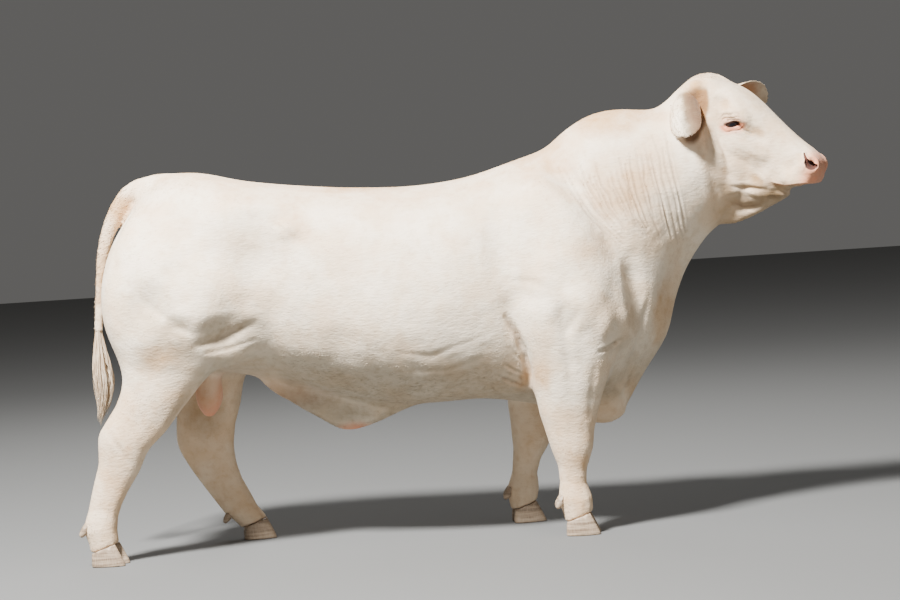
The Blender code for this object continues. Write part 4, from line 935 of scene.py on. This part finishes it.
def tint_ears(marks, at, out):
    """Tan and pink in the ears' cups, painted shade on the near ear's back, and a tan strip of painted light
    shining through its thin front edge.
    """
    for root, tip, opening in EARS.values():
        gap, along = line_gap(at, (root, tip))
        ear = step(0.10, 0.22, along) * step(0.090, 0.072, gap)
        open_share = out @ unit(np.array(opening))
        inner = ear * step(0.05, 0.45, open_share) * step(0.085, 0.055, gap)
        hollow = inner * spot(at, 0.55 * np.array(root) + 0.45 * np.array(tip), (0.11,) * 3) ** 0.5
        marks.add("tan", 0.9 * hollow)
        marks.add("pink", 0.5 * hollow)
        back = ear * step(0.1, -0.3, open_share)
        if root[1] < 0:
            blot = 0.012 * grain(at, 0.03, SEED + 61)
            ahead = (at - root)[:, 0]
            # Painted shade on the part of the near ear's back turned from the light
            marks.add("shade", 0.95 * back * step(-0.040, 0.004, ahead + blot))
            # Painted light shining through the thin front edge
            marks.add("tan", 0.9 * (back * step(0.034, 0.044, ahead) * step(0.62, 0.45, along)))
            # Deeper painted shade on the same part of the back
            marks.add("dark", 0.55 * back * step(-0.030, 0.020, ahead + blot))
        marks.add("tan", 0.45 * spot(at, root, (0.06,) * 3))


def tint_eyes(marks, at, out, face):
    """Pink lids with dark edges, deeper on top as painted shade, painted shade on the upper lid's fold, and
    the dark streak of the tears with tan beside it.
    """
    for side in SIDES:
        local = in_eye(at, side)
        share, up, near = slit_share(local), local[:, 1], np.abs(local[:, 2]) < 0.04
        marks.add("pink", step(3.2, 1.5, share) * near * face * (0.30 + 0.70 * step(0.004, -0.004, up)))
        # The lids' dark rims, made deeper along the top as painted shade
        edge = step(1.22, 1.05, share) * (0.55 + 0.45 * step(-0.004, 0.004, up))
        # Painted shade on the upper lid's fold over the slit
        over = step(1.60, 1.15, share) * step(0.0, 0.005, up)
        marks.add("dark", np.maximum(0.95 * edge, 0.70 * over) * near * face)
        mirror = np.array((1.0, -side, 1.0))
        way = np.array(FACE_WAY) * mirror
        streak, along = seen_gap(at, TEAR_LINE, way, mirror)
        here = face * facing(out, way, 0.0, 0.3)
        marks.add("dark", 0.9 * groove(streak, 0.0042 - 0.0020 * along) * (1.0 - 0.6 * along) * here)
        marks.add("tan", 0.45 * groove(streak - 0.006, 0.006) * here)


def tint(skin):
    """The coat's markings: tan and pink skin, and painted shade, grey in hollows and beneath, dark in
    creases and nostrils.
    """
    at, out, face = skin.at, skin.out, on_face(skin.at)
    marks = Marks((name, np.zeros(len(at))) for name in ("tan", "pink", "shade", "dark"))
    tint_body(marks, at, out)
    tint_face(marks, skin, face)
    tint_ears(marks, at, out)
    tint_eyes(marks, at, out, face)
    # Painted shade in the creases
    marks.add("dark", 0.42 * skin.crease_shade)
    # Painted shade inside the nostrils
    marks.add("dark", skin.hole)
    skin.marks = marks


def keep_marks(mesh, marks):
    for name, values in marks.items():
        layer = mesh.attributes.new(name, "FLOAT", "POINT")
        layer.data.foreach_set("value", np.clip(values, 0.0, 1.0).astype(np.float32))


class Nodes:
    """A new material, and short calls for its nodes."""

    def __init__(self, name):
        self.material = bpy.data.materials.new(name)
        self.material.use_nodes = True
        self.nodes, self.links = self.material.node_tree.nodes, self.material.node_tree.links

    def wire(self, value, socket):
        if isinstance(value, bpy.types.NodeSocket):
            self.links.new(value, socket)
        elif socket.type == "RGBA":
            socket.default_value = (*value, 1.0)
        else:
            socket.default_value = value

    def new(self, kind, output, inputs, **settings):
        """The output of a new node, its inputs given as values or as other nodes' outputs."""
        node = self.nodes.new("ShaderNode" + kind)
        for name, value in settings.items():
            setattr(node, name, value)
        for name, value in inputs.items():
            self.wire(value, node.inputs[name])
        return node.outputs[output]

    def mark(self, name):
        return self.new("Attribute", "Fac", {}, attribute_name=name)

    def place(self):
        return self.new("TexCoord", "Object", {})

    def turned(self, vector, scale, turn=(0.0, 0.0, 0.0)):
        return self.new("Mapping", "Vector", {"Vector": vector, "Rotation": turn, "Scale": scale})

    def noise(self, vector, scale, detail=2.0, rough=0.5):
        inputs = {"Vector": vector, "Scale": scale, "Detail": detail, "Roughness": rough}
        return self.new("TexNoise", "Fac", inputs)

    def math(self, operation, *values):
        return self.new("Math", "Value", dict(enumerate(values)), operation=operation)

    def ranged(self, *values):
        """A value from one range, given by its ends, brought smoothly to 0 to 1 or to two further ends."""
        return self.new("MapRange", "Result", dict(enumerate(values)), interpolation_type="SMOOTHSTEP")

    def mixed(self, share, first, second):
        return self.new("Mix", 2, {0: share, 6: first, 7: second}, data_type="RGBA")

    def bump(self, height, distance, **normal):
        return self.new("Bump", "Normal", {"Height": height, "Distance": distance, **normal})

    def shaded(self, inputs):
        """The material, with its shader's inputs given by name."""
        shader = next(node for node in self.nodes if node.type == "BSDF_PRINCIPLED")
        for name, value in inputs.items():
            self.wire(value, shader.inputs[name])
        return self.material


def coat_colour(made):
    """Cream with soft mottling, and the marks over it, among them painted shade."""
    place = made.place()
    wide = made.noise(place, 7.0, 3.0, 0.55)
    small = made.noise(place, 34.0, 3.0, 0.6)
    colour = made.mixed(made.ranged(wide, 0.38, 0.66), CREAM, CREAM_DEEP)
    colour = made.mixed(made.math("MULTIPLY", made.ranged(small, 0.45, 0.75), 0.35), colour, BEIGE)
    flecks = made.math("MULTIPLY_ADD", small, 0.9, -0.35)
    for name, (tone, gain) in MARK_TONES.items():
        share = made.math("MULTIPLY", made.mark(name), gain)
        broken = made.math("MULTIPLY_ADD", made.math("MULTIPLY", share, flecks), 0.8, share)
        colour = made.mixed(broken, colour, tone)
    return colour


def coat_material():
    """Short cream coat: hair along its lie in the bump, bare pink skin smoother."""
    made = Nodes("cream_coat")
    place, bare = made.place(), made.mark("pink")
    along_trunk = made.noise(made.turned(place, (0.16, 1.0, 1.0), (0.0, 0.35, 0.0)), 620.0, 2.0, 0.6)
    along_legs = made.noise(made.turned(place, (1.0, 1.0, 0.16)), 620.0, 2.0, 0.6)
    face_way = made.turned(place, (0.2, 1.0, 1.0), (0.0, -HEAD_PITCH, -HEAD_YAW))
    hair = made.mixed(made.mark("legs"), along_trunk, along_legs)
    hair = made.mixed(made.mark("face"), hair, made.noise(face_way, 800.0, 2.0, 0.6))
    clumps = made.noise(made.turned(place, (0.35, 1.0, 1.0), (0.0, 0.35, 0.0)), 110.0, 3.0, 0.6)
    haired = made.math("SUBTRACT", 1.0, bare)
    soft = made.bump(made.math("MULTIPLY", clumps, haired), 0.0024)
    strength = made.math("MULTIPLY_ADD", haired, 0.8, 0.2)
    fine = made.bump(made.math("MULTIPLY", hair, strength), 0.0008, Normal=soft)
    rough = made.math("MAXIMUM", made.ranged(bare, 0.2, 0.9, 0.78, 0.48), made.mark("dark"))
    looks = {"Base Color": coat_colour(made), "Normal": fine, "Roughness": rough}
    return made.shaded({**looks, **SHEEN, "Sheen Roughness": 0.45})


def tuft_material():
    made = Nodes("coat_hair")
    return made.shaded({"Base Color": coat_colour(made), "Roughness": 0.62, **SHEEN})


def lie_of_coat(at, out):
    """The way the hair lies: back along the trunk, down the legs and neck, and down the face."""
    legs = on_legs(at)[:, None]
    face = on_face(at)[:, None]
    head = in_head(at)
    trunk = np.broadcast_to((-1.0, 0.0, -0.42), at.shape)
    down = np.broadcast_to((-0.15, 0.0, -1.0), at.shape)
    from_whorl = (head - (0.10, 0.0, 0.02)) * (1.0, 0.6, 0.6) + (0.02, 0.0, -0.03)
    muzzle_way = unit(from_whorl) @ HEAD[:3, :3].T
    lie = trunk * (1.0 - legs) + down * legs
    lie = lie * (1.0 - face) + muzzle_way * face
    wander = np.column_stack([grain(at, 0.07, SEED + 20 + k) for k in range(3)])
    lie = lie + 0.28 * wander
    lie = lie - out * np.sum(lie * out, axis=1)[:, None]
    return unit(lie)


class Roots:
    """Where tufts stand: places on the skin, outward directions, nearest vertices and marks."""

    def __init__(self, skin, density, seed):
        self.rng = np.random.default_rng(seed)
        skin.mesh.calc_loop_triangles()
        corners = numbers(skin.mesh.loop_triangles, "vertices", 3, np.int32)
        a, b, c = (skin.at[corners[:, k]] for k in range(3))
        area = 0.5 * np.linalg.norm(np.cross(b - a, c - a), axis=1)
        weight = area * density[corners].mean(axis=1)
        self.count = int(weight.sum())
        chosen = corners[self.rng.choice(len(corners), size=self.count, p=weight / weight.sum())]
        share = self.rng.dirichlet((1.0, 1.0, 1.0), self.count)
        self.vertex = chosen[:, 0]
        self.at = np.einsum("ij,ijk->ik", share, skin.at[chosen])
        self.out = unit(np.einsum("ij,ijk->ik", share, skin.out[chosen]))
        self.marks = {name: values[self.vertex] for name, values in skin.marks.items()}


def unwrapped(at, chart):
    """Where places lie on an unwrap of the skin's own shape, from 0 to 1, round the axis of each part."""
    x, y, z = at.T
    if chart == "head":
        head = in_head(at)
        u, turn = (head[:, 0] + 0.15) / 0.80, np.arctan2(head[:, 1], -head[:, 2] - 0.13)
    elif chart == "legs":
        fore, left = x > -0.3, y > 0
        middle_x = np.where(fore, 0.33 + 0.05 * (1 - left), -1.0 - 0.2 * (1 - left) + 0.0 * x)
        middle_y = np.where(left, 0.22, -0.25)
        turn = np.arctan2(y - middle_y, x - middle_x)
        v = (turn / math.pi * 0.5 + 0.5) * 0.235 + 0.25 * (fore + 2.0 * left) + 0.005
        return np.column_stack((np.clip(z / 0.75, 0, 1) * 0.96 + 0.02, v))
    elif chart == "tail":
        u, turn = (1.45 - z) / 1.0, np.arctan2(y, x + 1.25)
    else:
        u, turn = (x + 1.35) / 2.65, np.arctan2(y, z - (0.93 + 0.25 * step(0.2, 0.9, x)))
    return np.column_stack((np.clip(u, 0, 1) * 0.96 + 0.02, (turn / math.pi * 0.5 + 0.5) * 0.96 + 0.02))


def blades(name, roots, lie, length, width, lift, bend, chart, material):
    """Solid tapered tufts, each bent once, as one piece with its marks and bake map."""
    side = unit(np.cross(lie, roots.out))
    flat = np.cos(lift)[:, None] * lie + np.sin(lift)[:, None] * roots.out
    later = unit(np.cos(lift * 0.2)[:, None] * lie + np.sin(lift * 0.2)[:, None] * roots.out + bend * side)
    base = roots.at - 0.15 * length[:, None] * flat - 0.0006 * roots.out
    middle = base + 0.55 * length[:, None] * flat
    tip = middle + 0.60 * length[:, None] * later
    wide, thick = width[:, None] * side, 0.45 * width[:, None] * roots.out
    low = (base - wide, base + wide, base + thick)
    high = (middle - 0.75 * wide, middle + 0.75 * wide, middle + 0.8 * thick)
    points = np.stack((*low, *high, tip), axis=1)
    faces = np.arange(roots.count)[:, None, None] * len(TUFT_SPREAD) + np.array(TUFT_FACES)
    spread = BAKE_PATCH * 0.5 * np.array(TUFT_SPREAD)
    solid_piece(name, points, faces, roots.at, roots.marks, spread, chart, material)


def solid_piece(name, points, faces, at, marks, spread, chart, material):
    """Many small solids of one make as one piece, each with its root's marks and its patch of the unwrap."""
    points, faces = points.reshape(-1, 3), faces.reshape(-1, 3)
    mesh = bpy.data.meshes.new(name)
    mesh.vertices.add(len(points))
    mesh.vertices.foreach_set("co", (points + SHIFT).ravel())
    mesh.loops.add(faces.size)
    mesh.loops.foreach_set("vertex_index", faces.ravel().astype(np.int32))
    mesh.polygons.add(len(faces))
    mesh.polygons.foreach_set("loop_start", np.arange(0, faces.size, 3, dtype=np.int32))
    mesh.update(calc_edges=True)
    mesh.validate()
    keep_marks(mesh, {mark: np.repeat(values, len(spread)) for mark, values in marks.items()})
    places = (unwrapped(at, chart)[:, None, :] + spread[None]).reshape(-1, 2)
    layer = mesh.uv_layers.new(name="OFBake")
    layer.data.foreach_set("uv", places[faces.ravel()].astype(np.float32).ravel())
    mesh.materials.append(material)
    piece = shown(name, rounded(mesh))
    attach(piece, "root")
    return piece


def grow_coat(skin, material):
    """Short tufts over the whole coat, longer where the photo's hair breaks the outline."""
    at, out, ears = skin.at, skin.out, skin.ears
    face, legs = on_face(at), on_legs(at)
    bare = np.maximum(skin.marks["pink"], skin.hole)
    tail = step(-1.10, -1.14, at[:, 0]) * step(0.09, 0.05, np.abs(at[:, 1])) * step(0.75, 0.80, at[:, 2])
    haired = step(0.75, 0.35, bare) * (1.0 - tail * step(-0.3, -0.6, out[:, 2]))
    poll = spot(in_head(at), (0.01, 0.0, 0.0), (0.13, 0.11, 0.10)) * face
    under = step(-0.3, -0.8, out[:, 2]) * (1.0 - face) * (1.0 - legs)
    crest = step(0.5, 0.9, out[:, 2]) * (1.0 - face)
    length = (HAIR_LENGTH + 0.002 * grain(at, 0.15, SEED + 5)) * (1.0 - face) + FACE_HAIR_LENGTH * face
    length = (length + 0.009 * poll) * (1.0 - 0.15 * legs)
    length += 0.005 * under
    length += 0.003 * crest + 0.006 * tail + 0.001 * ears
    dense = (9000 + 9000 * face + 4500 * legs + 26000 * poll + 4000 * tail + 24000 * ears) * haired
    zones = {
        "coat_head": (face * (1.0 - ears), "head"),
        "coat_ears": (ears, "head"),
        "coat_legs": (legs, "legs"),
        "coat_tail": (tail, "tail"),
    }
    taken = np.zeros(len(at), bool)
    plain = {}
    for name, (zone, chart) in zones.items():
        inside = (zone > 0.5) & ~taken
        taken |= inside
        plain[name] = (inside, chart)
    for number, (low, high) in enumerate(zip(TRUNK_CUTS[:-1], TRUNK_CUTS[1:])):
        plain[f"coat_trunk_{number + 1}"] = (~taken & (at[:, 0] >= low) & (at[:, 0] < high), "trunk")
    for number, (name, (inside, chart)) in enumerate(plain.items()):
        roots = Roots(skin, dense * inside, SEED + 100 + number)
        lie = lie_of_coat(roots.at, roots.out)
        long = length[roots.vertex] * roots.rng.uniform(0.7, 1.25, roots.count)
        wide = (0.00085 + 0.03 * long) * roots.rng.uniform(0.8, 1.2, roots.count)
        raised = 2.0 + 5.0 * np.maximum.reduce((face, legs, tail, 0.4 * under))[roots.vertex]
        up = np.radians(roots.rng.uniform(1.0, 1.0 + raised) + 12.0 * poll[roots.vertex] + 3.0)
        bend = 0.25 * roots.rng.normal(size=(roots.count, 1))
        blades(name, roots, lie, long, wide, up, bend, chart, material)


def strands(name, centres, widths, marks, material):
    """Long tapered locks along given centre lines, as one piece."""
    count, steps, _ = centres.shape
    sides = LOCK_SIDES
    ahead = unit(np.gradient(centres, axis=1))
    first = unit(np.cross(ahead, (0.0, 1.0, 0.02)))
    second = np.cross(ahead, first)
    rings = []
    for k in range(sides):
        turn = 2.0 * math.pi * k / sides
        rings.append(centres + widths[..., None] * (math.cos(turn) * first + 0.6 * math.sin(turn) * second))
    points = np.stack(rings, axis=2).reshape(count, steps * sides, 3)
    points[:, -sides:] = centres[:, -1:, :] + 0.15 * (points[:, -sides:] - centres[:, -1:, :])
    pattern = [(0, k + 1, k) for k in range(1, sides - 1)]
    top = (steps - 1) * sides
    pattern += [(top, top + k, top + k + 1) for k in range(1, sides - 1)]
    for row, k in itertools.product(range(steps - 1), range(sides)):
        a, b = row * sides + k, row * sides + (k + 1) % sides
        pattern += [(a, b, b + sides), (a, b + sides, a + sides)]
    faces = np.arange(count)[:, None, None] * steps * sides + np.array(pattern)
    down, round_lock = np.linspace(-0.5, 0.5, steps), np.linspace(-0.5, 0.5, sides)
    spread = BAKE_PATCH * np.column_stack((np.repeat(down, sides), np.tile(round_lock, steps)))
    return solid_piece(name, points, faces, centres[:, 0], marks, spread, "tail", material)


def grow_switch(material):
    """The tail's switch: long locks in clumps round the end of the tail."""
    rng = np.random.default_rng(SEED + 50)
    count, clump = SWITCH_LOCKS, np.arange(SWITCH_CLUMPS)
    which = rng.integers(0, SWITCH_CLUMPS, count)
    clump_turn = 2.0 * math.pi * (clump * 0.618 % 1.0)
    clump_reach = 0.35 + 0.6 * ((clump * 0.38) % 1.0)
    clump_end = 0.50 + 0.13 * ((clump * 0.71) % 1.0) ** 1.5
    turn = clump_turn[which] + rng.normal(0.0, 0.30, count)
    reach = clump_reach[which] + rng.normal(0.0, 0.12, count)
    start = rng.uniform(0.66, 0.90, count)
    end = np.minimum(clump_end[which] + rng.normal(0.0, 0.012, count), start - 0.10)
    t = np.linspace(0.0, 1.0, LOCK_STEPS)
    z = start[:, None] + (end - start)[:, None] * t
    rows = np.array(SWITCH[::-1])
    middle, deep, wide = (np.interp(z, rows[:, 1], rows[:, k]) for k in (0, 2, 3))
    out = 0.45 + (np.clip(reach, 0.15, 1.0) - 0.45)[:, None] * step(0.0, 0.4, t)
    loose = rng.normal(0.0, 0.0022, (count, 2))
    wave = 0.0030 * np.sin(6.0 * t * 2.0 + rng.uniform(0, 6.3, count)[:, None]) * t
    x = middle + deep * out * np.cos(turn)[:, None] + loose[:, :1] * t + wave
    y = wide * out * np.sin(turn)[:, None] + loose[:, 1:] * t + 0.7 * wave
    centres = np.stack((x, y, z), axis=2)
    thick = 0.0013 * rng.uniform(0.7, 1.3, count)[:, None]
    widths = thick * (1.0 - 0.75 * t**2) * np.minimum(1.0, 0.4 + 4.0 * t)
    zero = np.zeros(count)
    tan, shade = rng.uniform(0.0, 0.30, count), rng.uniform(0.1, 0.5, count)
    marks = {"tan": tan, "pink": zero, "shade": shade, "dark": zero}
    piece = strands("switch_locks", centres, widths, marks, material)
    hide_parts("tail_switch")


def eye_piece(name, side, material):
    """An eyeball with a flat iris, an oval pupil lying along the slit, and a wet shine."""
    axes = eye_axes(side)
    centre = from_head(np.array(EYE_AT) * (1, side, 1)) + SHIFT
    mesh = ball_mesh((0.0, 0.0, 0.0), (1.0, 1.0, 1.0), 96)
    local = numbers(mesh.vertices, "co", 3)[:, (0, 2, 1)]
    x, y, z = local.T
    spread = np.hypot(x * 1.05, y)
    iris = step(0.98, 0.86, spread) * (z > 0)
    pupil = step(1.0, 0.86, np.hypot(x / 0.40, y / 0.24)) * (z > 0)
    bulge = 1.0 + 0.03 * step(0.75, 0.3, spread) * (z > 0)
    points = local * np.array(EYE_RADII) * bulge[:, None]
    mesh.vertices.foreach_set("co", (points @ axes + centre).ravel())
    keep_marks(mesh, {"iris": iris, "pupil": pupil})
    outward(mesh).materials.append(material)
    piece = shown(name + "_ball", rounded(mesh))
    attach(piece, "root")
    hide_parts(name)


def eye_material():
    made = Nodes("eye")
    colour = made.mixed(made.mark("iris"), EYE_WHITE, IRIS)
    colour = made.mixed(made.mark("pupil"), colour, PUPIL)
    return made.shaded({"Base Color": colour, "Roughness": 0.08, "Specular IOR Level": 0.30})


def horn_material():
    """Pale brown horn with rings round the claw and fine upright grain."""
    made = Nodes("claw_horn")
    place = made.place()
    rings = made.noise(made.turned(place, (1.0, 1.0, 14.0)), 9.0, 3.0, 0.6)
    grainy = made.noise(made.turned(place, (12.0, 12.0, 1.5)), 25.0, 3.0, 0.6)
    colour = made.mixed(made.ranged(rings, 0.35, 0.68), HORN, HORN_DARK)
    colour = made.mixed(made.math("MULTIPLY", made.ranged(grainy, 0.4, 0.7), 0.4), colour, HORN_PALE)
    normal = made.bump(rings, 0.0016, Normal=made.bump(grainy, 0.0008))
    return made.shaded({"Base Color": colour, "Normal": normal, "Roughness": 0.48})


def claw_piece(name, material):
    """The node's claw rounded, as high as it was."""
    mesh = modified(node_mesh(name), "SUBSURF", levels=2, render_levels=2)
    points = numbers(mesh.vertices, "co", 3)
    low, high = points[:, 2].min(), points[:, 2].max()
    heights = [v.co.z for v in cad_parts[name].data.vertices]
    rise = (points[:, 2] - low) / (high - low)
    points[:, 2] = min(heights) + rise * (max(heights) - min(heights))
    mesh.vertices.foreach_set("co", points.ravel())
    mesh.materials.append(material)
    piece = shown(name + "_horn", rounded(mesh))
    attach(piece, "root")
    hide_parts(name)


def thinned(skin):
    """The skin with fewer triangles where it is plain, and what was noted on it carried over."""
    noted = {name: getattr(skin, name) for name in ("ears", "crease_shade", "hole", "mouth")}
    mesh = skin.mesh
    for name, values in noted.items():
        mesh.attributes.new(name, "FLOAT", "POINT").data.foreach_set("value", values.astype(np.float32))
    count = sum(len(face.vertices) - 2 for face in mesh.polygons)
    fewer = Skin(modified(mesh, "DECIMATE", ratio=min(1.0, SKIN_TRIANGLES / count)))
    for name in noted:
        layer = fewer.mesh.attributes[name]
        setattr(fewer, name, numbers(layer.data, "value", 1))
        fewer.mesh.attributes.remove(layer)
    return fewer


def full_skin():
    """The skin with ears and lids grown on, its openings and folds sculpted, and its marks."""
    skin = make_skin()
    for side in SIDES:
        local = in_eye(skin.at, side)
        inside = step(1.25, 0.95, slit_share(local)) * (np.abs(local[:, 2] - 0.015) < 0.05)
        skin.at -= eye_axes(side)[2] * (SLIT_SINK * inside)[:, None]
    skin.write()
    tree = tree_of(skin.mesh)
    ears = [ear_mesh(name, root) for name, (root, _, _) in EARS.items()]
    skin = Skin(united(skin.mesh, ears + [lid_mesh(side, tree) for side in SIDES]))
    at = skin.at
    skin.ears, skin.crease_shade, skin.hole, joint = np.zeros((4, len(at)))
    for root, tip, _ in EARS.values():
        gap, along = line_gap(at, (root, tip))
        skin.ears = np.maximum(skin.ears, step(0.10, 0.22, along) * (gap < 0.075))
        joint = np.maximum(joint, spot(at, root, (0.055,) * 3))
    skin.smooth(5, 0.5 * step(0.15, 0.6, joint))
    sculpt_trunk(skin)
    sculpt_head(skin)
    skin = thinned(skin)
    depth = COAT_DEPTH * (1.0 - on_face(skin.at)) * (1.0 - 0.5 * on_legs(skin.at)) * (1.0 - skin.ears)
    skin.push(-depth)
    tint(skin)
    keep_marks(skin.mesh, {**skin.marks, "legs": on_legs(skin.at), "face": on_face(skin.at)})
    return skin


def stage():
    """A pale floor, soft light from the upper left on the near side, and the sky's light."""
    half = FLOOR_HALF
    corners = [(-half, -half, 0), (half, -half, 0), (half, half, 0), (-half, half, 0)]
    floor_mesh = bpy.data.meshes.new("floor")
    floor_mesh.from_pydata(corners, [], [(0, 1, 2, 3)])
    floor = shown("floor", floor_mesh)
    floor_mesh.materials.append(Nodes("floor_pale").shaded({"Base Color": FLOOR, "Roughness": 0.9}))
    for name, place, size, power in LAMPS:
        data = bpy.data.lights.new(name, "AREA")
        data.size = size
        data.energy = power
        lamp = shown(name, data)
        lamp.location = place
        lamp.rotation_mode = "QUATERNION"
        lamp.rotation_quaternion = (Vector(LAMPS_AIM) - Vector(place)).to_track_quat("-Z", "Y")
    world = bpy.data.worlds.new("studio")
    world.use_nodes = True
    background = world.node_tree.nodes["Background"]
    background.inputs["Color"].default_value = (*SKY, 1.0)
    background.inputs["Strength"].default_value = SKY_STRENGTH
    bpy.context.scene.world = world


def camera():
    """The photo's view: from a little below the back, dipping by 2.4 degrees, with a slight roll."""
    pitch = math.atan(HORIZON_ABOVE * math.cos(CAMERA_ROLL) / CAMERA_FOCUS)
    data = bpy.data.cameras.new("camera")
    data.sensor_width = SENSOR_WIDTH
    data.lens = CAMERA_FOCUS / PHOTO_WIDTH * data.sensor_width
    lens = shown("camera", data)
    ahead = Vector((0.0, math.cos(pitch), -math.sin(pitch)))
    level_up = Vector((0.0, math.sin(pitch), math.cos(pitch)))
    level_right = Vector((1.0, 0.0, 0.0))
    right = math.cos(CAMERA_ROLL) * level_right - math.sin(CAMERA_ROLL) * level_up
    up = math.sin(CAMERA_ROLL) * level_right + math.cos(CAMERA_ROLL) * level_up
    turn = Matrix((right, up, -ahead)).transposed().to_4x4()
    lens.matrix_world = Matrix.Translation(Vector(CAMERA_AT) + Vector(SHIFT)) @ turn
    bpy.context.scene.camera = lens


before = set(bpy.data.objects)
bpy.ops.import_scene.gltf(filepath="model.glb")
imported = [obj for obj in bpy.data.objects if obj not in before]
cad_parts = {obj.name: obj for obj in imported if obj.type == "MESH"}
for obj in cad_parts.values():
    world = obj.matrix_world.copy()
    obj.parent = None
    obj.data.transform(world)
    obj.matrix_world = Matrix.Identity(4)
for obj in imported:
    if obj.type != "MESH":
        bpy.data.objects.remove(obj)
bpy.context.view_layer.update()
skin = full_skin()
skin_piece = shown("skin", rounded(skin.mesh))
skin_piece.data.materials.clear()
skin_piece.data.materials.append(coat_material())
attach(skin_piece, "root")
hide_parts(*FLESH, *EARS)
hair = tuft_material()
grow_coat(skin, hair)
grow_switch(hair)
eye_look = eye_material()
for name, side in (("eye_right", -1), ("eye_left", 1)):
    eye_piece(name, side, eye_look)
horn = horn_material()
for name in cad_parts:
    if "claw" in name:
        claw_piece(name, horn)
stage()
camera()
